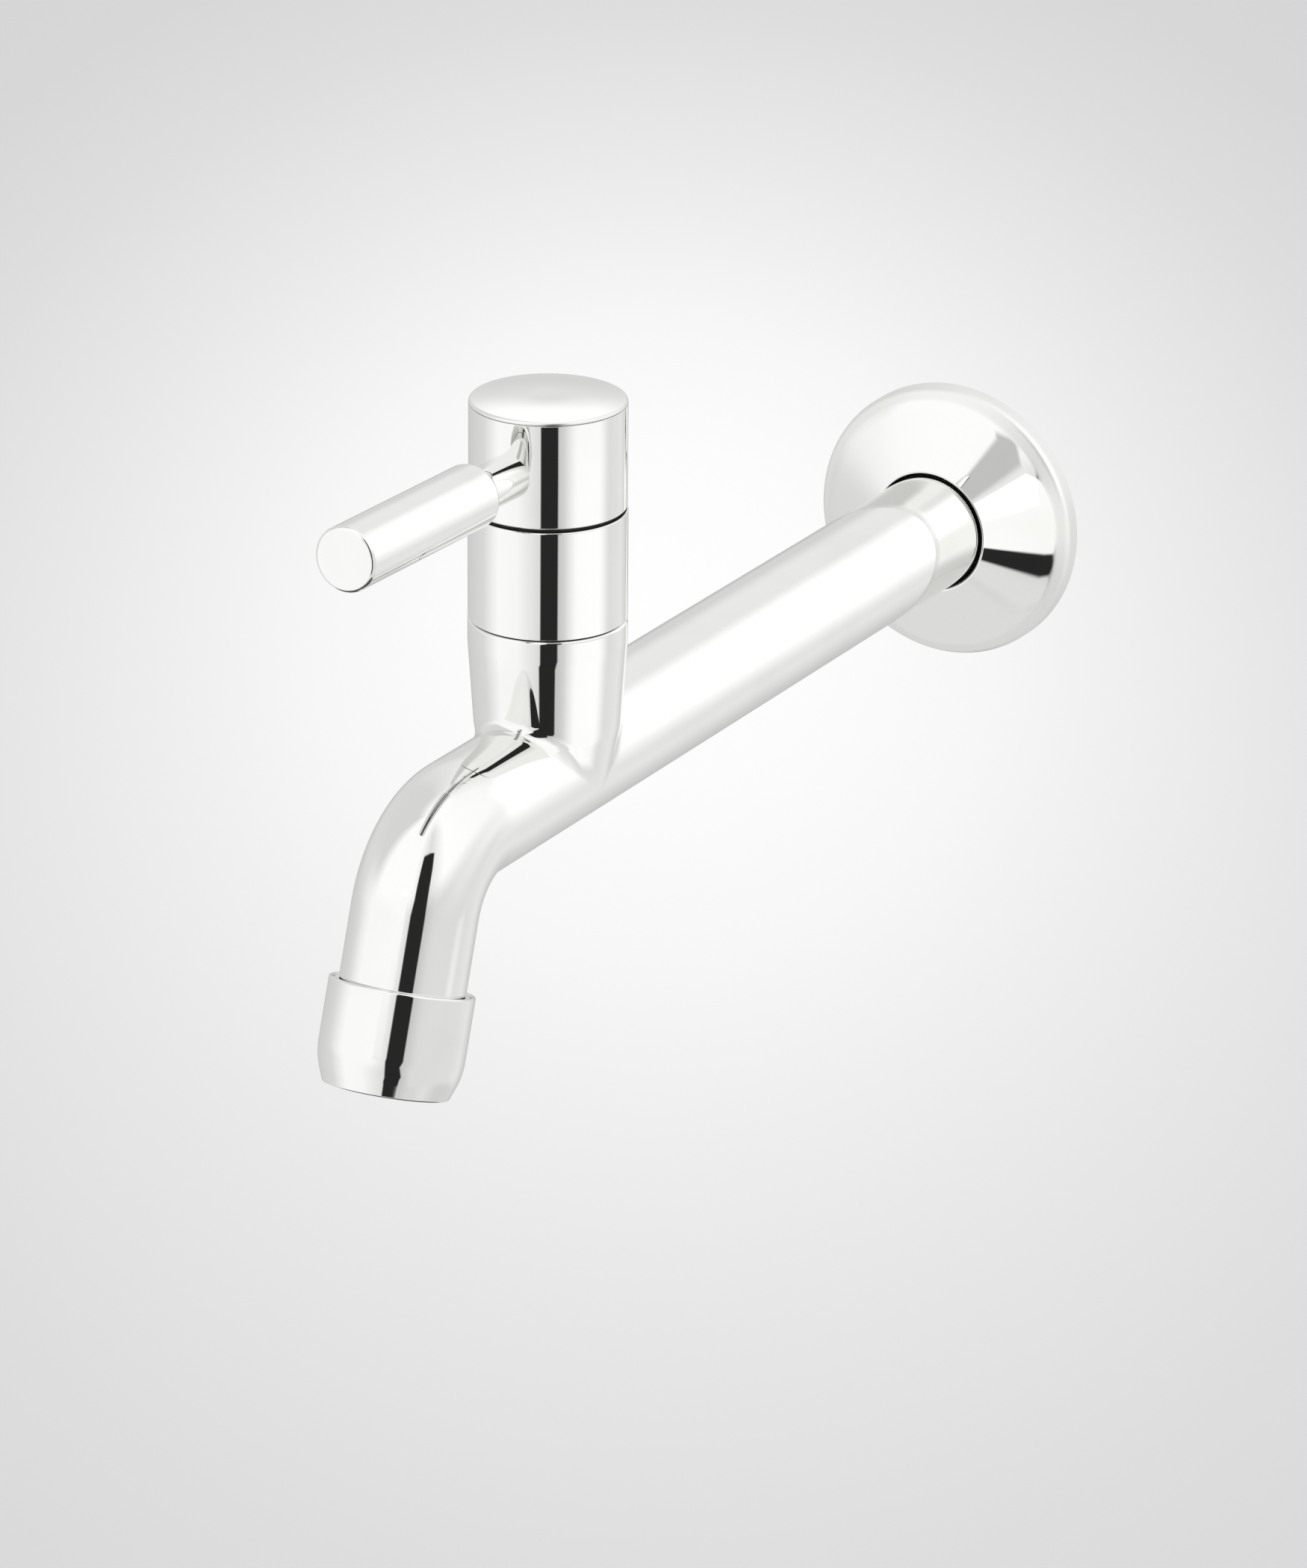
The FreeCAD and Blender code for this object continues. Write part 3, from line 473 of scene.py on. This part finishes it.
def newShell():
    return {"verts": [], "faces": [], "normals": []}


def addRow(shell, points):
    # a row that has shrunk to one spot is one vertex
    first = len(shell["verts"])
    if np.ptp(points, axis=0).max() < 1e-6:
        shell["verts"].append(points[0])
        return [first] * len(points)
    shell["verts"].extend(points)
    return list(range(first, first + len(points)))


def joinRows(shell, low, high, lowNormals, highNormals, flip=False):
    count = len(low)
    for i in range(count):
        j = (i + 1) % count
        corners = [(low[i], lowNormals[i]), (low[j], lowNormals[j]),
                   (high[j], highNormals[j]), (high[i], highNormals[i])]
        kept = [corner for k, corner in enumerate(corners) if corner[0] != corners[k - 1][0]]
        if flip:
            kept.reverse()
        if len(kept) > 2:
            shell["faces"].append([corner[0] for corner in kept])
            shell["normals"].extend(corner[1] for corner in kept)


def turnRows(shell, corners, place, axis, spokes, arcStep=6, firstRow=None, flip=False):
    # a profile turned round an axis; firstRow joins it to a row that is already there
    knots, isOpen = roundedOutline(corners, arcStep)
    rows = []
    for point, arriving, leaving in knots:
        if firstRow is not None and not rows:
            row = firstRow
        else:
            row = addRow(shell, place + axis * point[1] + spokes * point[0])
        rows.append((row, spokes * arriving[0] + axis * arriving[1], spokes * leaving[0] + axis * leaving[1]))
    pairs = list(zip(rows[:-1], rows[1:]))
    if not isOpen:
        pairs.append((rows[-1], rows[0]))
    for low, high in pairs:
        joinRows(shell, low[0], high[0], low[2], high[1], flip)
    return rows


def spokesAround(right, front, sides, startTurn=0):
    angles = math.tau * np.arange(sides) / sides + startTurn
    return np.outer(np.cos(angles), right) + np.outer(np.sin(angles), front)


def shellMesh(name, shell):
    mesh = bpy.data.meshes.new(name)
    mesh.from_pydata([tuple(point) for point in np.array(shell["verts"]) * mm], [], shell["faces"])
    mesh.polygons.foreach_set("use_smooth", [True] * len(mesh.polygons))
    mesh.normals_split_custom_set([tuple(normal) for normal in shell["normals"]])
    return mesh


def addPiece(name, mesh, mats, body, slot, *nodes):
    piece = bpy.data.objects.new(name, mesh)
    bpy.context.scene.collection.objects.link(piece)
    for mat in mats:
        mesh.materials.append(finishes[mat])
    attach(piece, body)
    if nodes:
        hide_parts(*nodes)
    print(name, "made,", len(mesh.polygons), "faces")


def paintShade(mesh, *zones):
    # faces in a zone (place, axis, radius, lowest, highest) take the second finish, the painted shade of
    # recesses and bores
    centres = np.zeros(len(mesh.polygons) * 3)
    mesh.polygons.foreach_get("center", centres)
    inside = np.zeros(len(mesh.polygons), bool)
    for place, axis, radius, lowest, highest in zones:
        away = centres.reshape(-1, 3) / mm - place
        height = away @ axis
        out = np.linalg.norm(away - np.outer(height, axis), axis=1)
        inside |= (out < radius) & (height > lowest) & (height < highest)
    mesh.polygons.foreach_set("material_index", inside.astype(np.int32))


def turnedPiece(name, look):
    # every axis of this tap is square to x
    axis = np.array(look["axis"], float)
    axis /= np.linalg.norm(axis)
    right = np.array((1.0, 0, 0))
    place = np.array(look["place"], float)
    shell = newShell()
    spokes = spokesAround(right, np.cross(axis, right), look.get("sides", turnedSides))
    turnRows(shell, look["corners"], place, axis, spokes, turnedArcStep)
    mesh = shellMesh(name, shell)
    # inner faces in the look's zones take the painted shade
    if "inside" in look:
        paintShade(mesh, *((place, axis, *zone) for zone in look["inside"]))
    finishNames = [look["finish"]] + (["paintedShadeInside"] if "inside" in look else [])
    addPiece(name, mesh, finishNames, look["body"], "chrome_trim", look["node"])


# the casting; towerOutline goes on into the barrel, where only the crease and the fillets need it
castBody = {
    "barrelRadius": 12.5,
    "towerOutline": [(-5, -40, None), (-1, -12.5, 0), (3.0, -12.0, 0), (6.2, -10.6, 0), (9.3, -8.0, 0),
                     (11.0, -5.5, 0), (12.0, -3.2, 0), (12.4, -2.0, 0), (14.65, 9.5, 11.5),
                     (15.85, 27.0, 5.7), (15.85, 33.0, 0)],
    "towerTop": [(15.85, 31.0, None), (15.85, 31.95, 0.6), (15.2, 31.95, 0), (15.2, 32.7, 0),
                 (11.33, 32.7, 0), (10.53, 31.9, 0), (10.53, 23.5, 0), (11.95, 22.08, 0), (11.95, 10.0, 0),
                 (0, 10.0, 0)],
    "frontFillet": 2.0,
    "sideFillet": 5.0,
    "patchReach": 24.0,
    "bendStart": -208.5,
    "bendRadius": 19.2,
    "bendTurn": 71.3,
    "dropEnd": [(12.5, 0, None), (12.5, 15.4, 0.25), (11.0, 15.4, 0), (11.0, 23.0, 0), (10.2, 23.8, 0),
                (8.5, 23.8, 0), (8.5, 0, 0), (0, -2, 0)],
    "wallEnd": [(12.5, -151.5, None), (12.5, -3.5, 0), (12.0, -3.0, 0), (9.3, -3.0, 0.2), (9.3, 13.4, 0),
                (8.7, 14.0, 0), (7.5, 14.0, 0), (7.5, -150.0, 0), (0, -154.0, 0)],
    "ringSides": 192,
    "seamSteps": 36,
    "towerRows": 34,
    "patchRows": 28,
    "bendSteps": 40,
    "outlineArcStep": 0.5,
    "creaseStep": 0.5,
    "creaseLowest": -3.2,
    "creaseRounds": 60,
    "settleRounds": 10,
    "rowSpread": 1.6,
    # the three zones below take the painted shade inside the spout's drop, the tower and its lip
    "dropInside": (11.6, 14.0, 50),
    "towerInside": (12.2, 9.5, 32.5),
    "lipInside": (15.25, 32.0, 33),
}
nearlyParallel = 0.999


def castingShell(look):
    radius = look["barrelRadius"]
    knots = roundedOutline(look["towerOutline"], look["outlineArcStep"])[0]
    outlineZ = np.array([knot[0][1] for knot in knots])
    outlineR = np.array([knot[0][0] for knot in knots])
    outlineSlope = np.gradient(outlineR, outlineZ)

    def surfaceGap(points):
        # signed distance to tower and barrel joined by a rolling-ball fillet
        x, y, z = points[:, 0], points[:, 1] - towerY, points[:, 2]
        out = np.hypot(x, y)
        slope = np.interp(z, outlineZ, outlineSlope)
        lean = 1 / np.sqrt(1 + slope * slope)
        tower = (out - np.interp(z, outlineZ, outlineR)) * lean
        fromAxis = np.hypot(x, z)
        barrel = fromAxis - radius
        alike = (x / out * lean * x - slope * lean * z) / fromAxis
        alike = np.clip(alike, -nearlyParallel, nearlyParallel)
        share = np.clip(np.abs(x) / radius, 0, 1) ** 2
        fillet = look["frontFillet"] + (look["sideFillet"] - look["frontFillet"]) * share
        a, b = tower - fillet, barrel - fillet
        inside = (a - alike * b < 0) & (b - alike * a < 0)
        away = np.sqrt(np.maximum((a * a + b * b - 2 * alike * a * b) / (1 - alike * alike), 0))
        return np.where(inside, fillet - away, np.minimum(tower, barrel))

    def slopeAt(points):
        step = 1e-3
        parts = []
        for axis in np.eye(3) * step:
            parts.append((surfaceGap(points + axis) - surfaceGap(points - axis)) / (2 * step))
        return np.stack(parts, axis=1)

    def settle(points):
        # points moved onto the surface, with their normals
        for _ in range(look["settleRounds"]):
            slope = slopeAt(points)
            points = points - slope * (surfaceGap(points) / (slope * slope).sum(axis=1))[:, None]
        slope = slopeAt(points)
        return points, slope / np.linalg.norm(slope, axis=1)[:, None]

    # outer loop of the patch round the tower: w runs along the barrel, t round it and u is t unrolled
    sides, steps, reach = look["ringSides"], look["seamSteps"], look["patchReach"]
    turn = np.radians(-90 + 360 * np.arange(sides + 1) / sides)
    run = reach - 2 * reach * np.arange(1, steps) / steps
    wallSide = [(reach, t) for t in turn]
    spoutSide = [(-reach, t) for t in turn[::-1]]
    loop = np.array(wallSide + [(w, turn[-1]) for w in run] + spoutSide + [(w, turn[0]) for w in run[::-1]])
    outerW, outerU = loop[:, 0], -(loop[:, 1] - math.pi / 2) * radius

    # crease where tower and barrel cross, by angle round the tower
    angle = np.radians(np.arange(0, 360 + look["creaseStep"], look["creaseStep"]))
    low, high = np.full(len(angle), look["creaseLowest"]), np.full(len(angle), radius)
    for _ in range(look["creaseRounds"]):
        height = (low + high) / 2
        towerX = np.interp(height, outlineZ, outlineR) * np.cos(angle)
        inside = towerX ** 2 + height ** 2 < radius ** 2
        low = np.where(inside, height, low)
        high = np.where(inside, high, height)
    creaseR = np.interp(height, outlineZ, outlineR)
    creaseW = creaseR * np.sin(angle)
    creaseTurn = np.arctan2(height, creaseR * np.cos(angle))
    creaseTurn = np.where(creaseTurn < -math.pi / 2, creaseTurn + math.tau, creaseTurn)
    creaseU = -(creaseTurn - math.pi / 2) * radius
    bearing = np.unwrap(np.arctan2(creaseW, creaseU))
    wanted = np.unwrap(np.arctan2(outerW, outerU))
    wantedIn = (wanted - bearing[0]) % math.tau + bearing[0]
    theta = np.interp(wantedIn, bearing, angle)
    startZ = np.interp(theta, angle, height)
    startW = np.interp(theta, angle, creaseW)
    startU = np.interp(theta, angle, creaseU)

    shell = newShell()
    spokes = np.stack([np.cos(theta), np.sin(theta), 0 * theta], axis=1)
    foot = np.array([0, towerY, 0.0])
    up = np.array([0, 0, 1.0])
    topRows = turnRows(shell, look["towerTop"], foot, up, spokes)
    last = topRows[0][0]
    lastNormals = topRows[0][2]
    topZ = look["towerTop"][0][1]
    # tower wall, from its top down to the crease
    for k in range(look["towerRows"] - 1, -1, -1):
        share = (k / look["towerRows"]) ** look["rowSpread"]
        z = startZ + (topZ - startZ) * share
        r = np.interp(z, outlineZ, outlineR)
        points, normals = settle(foot + spokes * r[:, None] + np.outer(z, up))
        row = addRow(shell, points)
        joinRows(shell, row, last, normals, lastNormals)
        last, lastNormals = row, normals
    # barrel round the tower's foot, from the crease out to the loop
    for k in range(1, look["patchRows"]):
        share = (k / look["patchRows"]) ** look["rowSpread"]
        w = startW + (outerW - startW) * share
        t = math.pi / 2 - (startU + (outerU - startU) * share) / radius
        points, normals = settle(np.stack([radius * np.cos(t), towerY + w, radius * np.sin(t)], axis=1))
        row = addRow(shell, points)
        joinRows(shell, row, last, normals, lastNormals)
        last, lastNormals = row, normals

    # the outer loop's own vertices: two rings round the barrel and the line below it, each vertex once
    along = np.array([0, 1.0, 0])
    ring = spokesAround(np.array([1.0, 0, 0]), up, sides, -math.pi / 2)
    wallRing = addRow(shell, np.array([0, towerY + reach, 0]) + ring * radius)
    spoutRing = addRow(shell, np.array([0, towerY - reach, 0]) + ring * radius)
    under = addRow(shell, np.stack([0 * run, towerY + run, 0 * run - radius], axis=1))
    row = wallRing + [wallRing[0]] + under + [spoutRing[0]] + spoutRing[:0:-1] + [spoutRing[0]] + under[::-1]
    t = loop[:, 1]
    normals = np.stack([np.cos(t), 0 * t, np.sin(t)], axis=1)
    joinRows(shell, row, last, normals, lastNormals)

    turnRows(shell, look["wallEnd"], np.zeros(3), along, ring, firstRow=wallRing, flip=True)

    # rings round the bend of the spout
    last, lastNormals = spoutRing, ring
    side = np.array([1.0, 0, 0])
    centre = np.array([0, look["bendStart"], -look["bendRadius"]])
    for k in range(look["bendSteps"] + 1):
        turn = math.radians(look["bendTurn"] * k / look["bendSteps"])
        lift = np.array([0, -math.sin(turn), math.cos(turn)])
        ringHere = spokesAround(side, lift, sides, -math.pi / 2)
        row = addRow(shell, centre + lift * look["bendRadius"] + ringHere * radius)
        joinRows(shell, last, row, lastNormals, ringHere)
        last, lastNormals = row, ringHere
    down = np.array([0, -math.cos(turn), -math.sin(turn)])
    turnRows(shell, look["dropEnd"], centre + lift * look["bendRadius"], down, ringHere, firstRow=last)
    return shell


castingMesh = shellMesh("tapCasting", castingShell(castBody))
bendTurn, bendRadius = math.radians(castBody["bendTurn"]), castBody["bendRadius"]
spoutAxis = np.array((0, -math.cos(bendTurn), -math.sin(bendTurn)))
spoutFoot = np.array((0, castBody["bendStart"] - bendRadius * math.sin(bendTurn),
                      bendRadius * (math.cos(bendTurn) - 1)))
towerFoot = np.array((0, towerY, 0.0))
towerUp = np.array((0, 0, 1.0))
# painted shade on the casting's inner faces: the spout's drop, the tower and its lip
paintShade(castingMesh, (spoutFoot, spoutAxis, *castBody["dropInside"]),
       (towerFoot, towerUp, *castBody["towerInside"]), (towerFoot, towerUp, *castBody["lipInside"]))
addPiece("tapCasting", castingMesh, ["castChrome", "paintedShadeInside"], "tap", "chrome_casting", "tap_body")


# turned trim: corners are (radius, height, rounding) along each piece's own axis
leverRise = math.radians(1.4)
leverAxis = (0, -math.cos(leverRise), math.sin(leverRise))
leverRoot = (0, towerY, 64.9)
sleeveStart = 14.8

bonnetSleeve = {
    "place": towerFoot, "axis": towerUp, "finish": "turnedChrome", "body": "tap", "node": "bonnet_sleeve",
    "inside": [(15.3, 32.5, 55.2)],
    "corners": [(14.2, 33.1, 0), (15.25, 33.1, 0), (15.25, 32.25, 0), (15.8, 32.25, 0.1), (15.8, 54.46, 0.3),
                (14.95, 54.46, 0), (14.95, 55.1, 0), (13.15, 55.1, 0), (13.15, 54.05, 0), (12.05, 54.05, 0),
                (12.05, 55.1, 0), (9.05, 55.1, 0), (9.05, 51.1, 0), (14.2, 51.1, 0)],
}
handleHub = {
    "place": towerFoot, "axis": towerUp, "finish": "turnedChrome", "body": "handle", "node": "handle_hub",
    "inside": [(15.2, 55.2, 76.2)],
    "corners": [(13.65, 56.0, 0), (15.15, 56.0, 0), (15.15, 55.06, 0), (15.65, 55.06, 0.4),
                (15.65, 76.18, 0.05), (15.53, 76.3, 0), (12.0, 76.3, 0), (12.0, 71.3, 0), (2.65, 71.3, 0),
                (2.65, 69.7, 0), (6.0, 69.7, 0), (6.0, 60.5, 0), (13.65, 60.5, 0)],
}
topCap = {
    "place": towerFoot, "axis": towerUp, "finish": "capChrome", "body": "handle", "node": "handle_top_cap",
    "corners": [(0, 75.1, 0), (10.25, 75.1, 0), (10.25, 73.1, 0), (11.85, 73.1, 0), (11.85, 74.15, 0),
                (11.0, 74.15, 0), (11.0, 75.25, 0), (11.85, 75.25, 0), (11.85, 76.3, 0), (15.53, 76.3, 0),
                (15.65, 76.42, 0.05), (15.65, 77.05, 0.75), (7.7, 77.85, 90), (0, 77.85, 0)],
}
leverNeck = {
    "place": leverRoot, "axis": leverAxis, "finish": "turnedChrome", "body": "handle", "node": "lever_neck",
    "sides": 160,
    "corners": [(0, 8.09, 0), (2.3, 8.09, 0), (3.0, 8.79, 0), (3.0, 14.89, 0), (4.5, 14.89, 0),
                (4.5, 40.1, 0), (3.8, 40.8, 0), (0, 40.8, 0)],
}
leverRod = {
    "place": leverRoot, "axis": leverAxis, "finish": "turnedChrome", "body": "handle", "node": "lever_rod",
    "corners": [(0, 41.3, 0), (4.55, 41.3, 0), (4.55, 29.3, 0), (6.55, 29.3, 1.2), (6.55, 76.4, 0.85),
                (2.825, 76.8, 52.4), (0, 76.8, 0)],
}
wallFlange = {
    "place": (0, 0, 0), "axis": (0, -1, 0), "finish": "flangeChrome", "body": "tap", "node": "wall_flange",
    "sides": 288, "inside": [(15.2, 7.0, 11.3)],
    "corners": [(28.6, 0, 0), (30.1, 0, 0.3), (30.1, 3.85, 2.0), (26.6, 5.85, 30), (12.95, 12.21, 0.5),
                (12.95, 10.65, 0), (14.55, 10.65, 0), (14.55, 8.55, 0), (13.4, 8.55, 0), (13.4, 7.6, 0),
                (15.5, 7.6, 0), (15.5, 9.35, 0), (28.6, 3.1, 0)],
}
nozzleSleeve = {
    "place": spoutFoot + spoutAxis * sleeveStart, "axis": spoutAxis, "finish": "turnedChrome", "body": "tap",
    "node": "nozzle_sleeve", "inside": [(11.4, 2.0, 19.6)],
    "corners": [(13.45, 0, 0.4), (14.45, 0, 0.4), (14.45, 15.5, 14.9), (12.5, 20.7, 0.5), (9.5, 20.7, 0.5),
                (9.5, 19.4, 0), (11.3, 19.4, 0), (11.3, 10.25, 0), (11.05, 10.25, 0), (11.05, 0.9, 0),
                (13.45, 0.9, 0)],
}
for name, look in (("bonnetSleeve", bonnetSleeve), ("handleHub", handleHub), ("topCap", topCap),
                   ("leverNeck", leverNeck), ("leverRod", leverRod), ("wallFlange", wallFlange),
                   ("nozzleSleeve", nozzleSleeve)):
    turnedPiece(name, look)


# pipe thread on the inlet: one ridge swept along a helix, run out at both ends
inletThread = {
    "rootRadius": 9.25,
    "ridgeHeight": 1.2275,
    "footWidth": 1.62,
    "crestWidth": 0.34,
    "pitch": 1.814,
    "turns": 7.4,
    "start": 0.3,
    "stepsPerTurn": 72,
    "runOut": 0.06,
    "thinnest": 0.02,
    "profileTurn": math.pi / 2,
}


def buildInletThread(look):
    tree = bpy.data.node_groups.new("inletThread", "GeometryNodeTree")
    for title in ("Root Radius", "Ridge Height", "Foot Width", "Crest Width", "Pitch", "Turns", "Run Out"):
        tree.interface.new_socket(name=title, in_out="INPUT", socket_type="NodeSocketFloat")
    tree.interface.new_socket(name="Steps Per Turn", in_out="INPUT", socket_type="NodeSocketInt")
    tree.interface.new_socket(name="Finish", in_out="INPUT", socket_type="NodeSocketMaterial")
    tree.interface.new_socket(name="Geometry", in_out="OUTPUT", socket_type="NodeSocketGeometry")
    given = putNode(tree, "NodeGroupInput").outputs
    helix = putNode(tree, "GeometryNodeCurveSpiral")
    feed(tree, helix.inputs["Resolution"], given["Steps Per Turn"])
    feed(tree, helix.inputs["Rotations"], given["Turns"])
    feed(tree, helix.inputs["Start Radius"], given["Root Radius"])
    feed(tree, helix.inputs["End Radius"], given["Root Radius"])
    feed(tree, helix.inputs["Height"], calc(tree, "MULTIPLY", given["Pitch"], given["Turns"]))
    upright = putNode(tree, "GeometryNodeSetCurveNormal", mode="Z_UP")
    tree.links.new(helix.outputs[0], upright.inputs["Curve"])
    share = putNode(tree, "GeometryNodeSplineParameter").outputs["Factor"]
    nearEnd = calc(tree, "MINIMUM", share, calc(tree, "SUBTRACT", 1, share))
    runShare = calc(tree, "DIVIDE", nearEnd, given["Run Out"], clamp=True)
    full = calc(tree, "MAXIMUM", look["thinnest"], runShare)
    ridge = putNode(tree, "GeometryNodeCurvePrimitiveQuadrilateral", mode="TRAPEZOID")
    feed(tree, ridge.inputs["Bottom Width"], given["Foot Width"])
    feed(tree, ridge.inputs["Top Width"], given["Crest Width"])
    feed(tree, ridge.inputs["Height"], given["Ridge Height"])
    ridge.inputs["Offset"].default_value = 0
    lift = putNode(tree, "GeometryNodeTransform")
    tree.links.new(ridge.outputs[0], lift.inputs["Geometry"])
    upward = putNode(tree, "ShaderNodeCombineXYZ")
    feed(tree, upward.inputs["Y"], calc(tree, "MULTIPLY", given["Ridge Height"], 0.5))
    tree.links.new(upward.outputs[0], lift.inputs["Translation"])
    stand = putNode(tree, "GeometryNodeTransform")
    tree.links.new(lift.outputs[0], stand.inputs["Geometry"])
    stand.inputs["Rotation"].default_value = (0, 0, look["profileTurn"])
    sweep = putNode(tree, "GeometryNodeCurveToMesh")
    tree.links.new(upright.outputs[0], sweep.inputs["Curve"])
    tree.links.new(stand.outputs[0], sweep.inputs["Profile Curve"])
    feed(tree, sweep.inputs["Scale"], full)
    sweep.inputs["Fill Caps"].default_value = True
    turn = putNode(tree, "GeometryNodeTransform")
    tree.links.new(sweep.outputs[0], turn.inputs["Geometry"])
    turn.inputs["Rotation"].default_value = (-math.pi / 2, 0, 0)
    turn.inputs["Translation"].default_value = (0, look["start"] * mm, 0)
    whole = putNode(tree, "GeometryNodeRealizeInstances")
    tree.links.new(turn.outputs[0], whole.inputs[0])
    cover = putNode(tree, "GeometryNodeSetMaterial")
    tree.links.new(whole.outputs[0], cover.inputs["Geometry"])
    tree.links.new(given["Finish"], cover.inputs["Material"])
    tree.links.new(cover.outputs[0], putNode(tree, "NodeGroupOutput").inputs["Geometry"])

    carrier = bpy.data.objects.new("threadCarrier", bpy.data.meshes.new("threadCarrier"))
    bpy.context.scene.collection.objects.link(carrier)
    modifier = carrier.modifiers.new("inletThread", "NODES")
    modifier.node_group = tree
    values = {"Root Radius": look["rootRadius"] * mm, "Ridge Height": look["ridgeHeight"] * mm,
              "Foot Width": look["footWidth"] * mm, "Crest Width": look["crestWidth"] * mm,
              "Pitch": look["pitch"] * mm, "Turns": look["turns"], "Run Out": look["runOut"],
              "Steps Per Turn": look["stepsPerTurn"], "Finish": finishes["castChrome"]}
    for item in tree.interface.items_tree:
        if item.in_out == "INPUT":
            modifier[item.identifier] = values[item.name]
    carrier.update_tag()
    bpy.context.view_layer.update()
    grown = carrier.evaluated_get(bpy.context.evaluated_depsgraph_get())
    mesh = bpy.data.meshes.new_from_object(grown)
    mesh.name = "inletThread"
    bpy.data.objects.remove(carrier)
    return mesh


threadMesh = buildInletThread(inletThread)
addPiece("inletThread", threadMesh, [], "tap", "chrome_casting")


# side panels: soft windows of extra light that only the pieces named for them reflect; around and height
# give the middle of each soft edge, in degrees as above
sidePanels = {
    "towerSide": {"middle": (0, towerY * mm, 0.04), "around": (34, 90), "height": (-50, -16), "soft": (12, 3),
                  "tone": 0.28, "lights": ("handleHub", "bonnetSleeve", "tapCasting")},
    "flangeFront": {"middle": (0.02, 0, 0), "around": (-16, 26), "height": (-23.8, 10), "soft": (2, 0.8),
                    "tone": 0.95, "lights": ("wallFlange",)},
    "capBack": {"middle": (0, towerY * mm, 0.08), "around": (164, 196), "height": (24, 60), "soft": (4, 7),
                "tone": 0.30, "lights": ("topCap",)},
    "barrelBack": {"middle": (0, -0.09, 0), "around": (112, 145), "height": (-13, 34), "soft": (8, 10),
                   "tone": 0.26, "lights": ("tapCasting", "leverRod", "leverNeck")},
    "cardFill": {"middle": (0, -0.2, 0), "around": (-29, -16.5), "height": (10, 27), "soft": (1.5, 2.5),
                 "tone": 0.43, "lights": ("tapCasting", "nozzleSleeve")},
    "hubGlow": {"middle": (0, towerY * mm, 0.065), "around": (35, 95), "height": (-6, 34), "soft": (10, 5),
                "tone": 0.25, "lights": ("handleHub",)},
    "flangeGlow": {"middle": (0, 0, 0), "around": (40, 75), "height": (-28, 66), "soft": (8, 12),
                   "tone": 0.35, "lights": ("wallFlange",)},
    "flangeFoot": {"middle": (0, 0, 0), "around": (-172, 172), "height": (-100, -50.5), "soft": (8, 3.5),
                   "tone": 0.62, "lights": ("wallFlange",)},
}
panelReach = 3.0
panelCells = 24
panelLowest = -89.5  # just short of straight down, past which a panel would fold over itself


def buildPanel(name, look, turn):
    lowAround, highAround = look["around"][0] - look["soft"][0], look["around"][1] + look["soft"][0]
    lowHeight, highHeight = look["height"][0] - look["soft"][1], look["height"][1] + look["soft"][1]
    lowHeight = max(panelLowest, lowHeight)
    verts, faces, spots = [], [], []
    for row in range(panelCells + 1):
        for column in range(panelCells + 1):
            around = lowAround + (highAround - lowAround) * column / panelCells
            height = lowHeight + (highHeight - lowHeight) * row / panelCells
            spots.append((around, height))
            bearing, climb = math.radians(around + turn), math.radians(height)
            verts.append([look["middle"][0] + panelReach * math.sin(bearing) * math.cos(climb),
                          look["middle"][1] - panelReach * math.cos(bearing) * math.cos(climb),
                          look["middle"][2] + panelReach * math.sin(climb)])
            if row < panelCells and column < panelCells:
                corner = row * (panelCells + 1) + column
                faces.append((corner, corner + 1, corner + panelCells + 2, corner + panelCells + 1))
    mesh = bpy.data.meshes.new(name)
    mesh.from_pydata(verts, [], faces)
    place = mesh.attributes.new("tentPlace", "FLOAT2", "POINT")
    place.data.foreach_set("vector", [value for spot in spots for value in spot])
    mat = bpy.data.materials.new(name)
    mat.use_nodes = True
    mat.cycles.emission_sampling = "NONE"
    tree = mat.node_tree
    tree.nodes.clear()
    spot = putNode(tree, "ShaderNodeAttribute", attribute_name="tentPlace").outputs["Vector"]
    parts = putNode(tree, "ShaderNodeSeparateXYZ")
    tree.links.new(spot, parts.inputs[0])
    glow = look["tone"] / chromeShare
    for output, limits, soft in ((0, look["around"], look["soft"][0]), (1, look["height"], look["soft"][1])):
        glow = calc(tree, "MULTIPLY", glow, easeWindow(tree, parts.outputs[output], limits, soft))
    light = putNode(tree, "ShaderNodeEmission")
    feed(tree, light.inputs["Strength"], glow)
    both = putNode(tree, "ShaderNodeAddShader")
    tree.links.new(light.outputs[0], both.inputs[0])
    tree.links.new(putNode(tree, "ShaderNodeBsdfTransparent").outputs[0], both.inputs[1])
    tree.links.new(both.outputs[0], putNode(tree, "ShaderNodeOutputMaterial").inputs["Surface"])
    mesh.materials.append(mat)
    panel = bpy.data.objects.new(name, mesh)
    bpy.context.scene.collection.objects.link(panel)
    panel.visible_camera = panel.visible_diffuse = panel.visible_shadow = panel.visible_transmission = False
    lit = bpy.data.collections.new(name)
    for piece in look["lights"]:
        lit.objects.link(bpy.data.objects[piece])
    panel.light_linking.receiver_collection = lit


for name, look in sidePanels.items():
    buildPanel(name, look, cameraLook["azimuth"])
print("side panels built")


# pieces carried over from the CAD model take the finish of their slot
slotFinish = {
    "chrome_casting": "castChrome",
    "chrome_trim": "turnedChrome",
    "bare_brass": "bareBrass",
    "stainless": "stainlessSteel",
    "black_rubber": "blackRubber",
    "black_plastic": "blackPlastic",
    "white_plastic": "whitePlastic",
    "ceramic": "lappedCeramic",
}
for part in frame["record"]["subparts"]:
    node = frame["nodes"][part["node"]]
    node.data.materials.clear()
    node.data.materials.append(finishes[slotFinish[part["material_slot"]]])
print("inner parts finished")
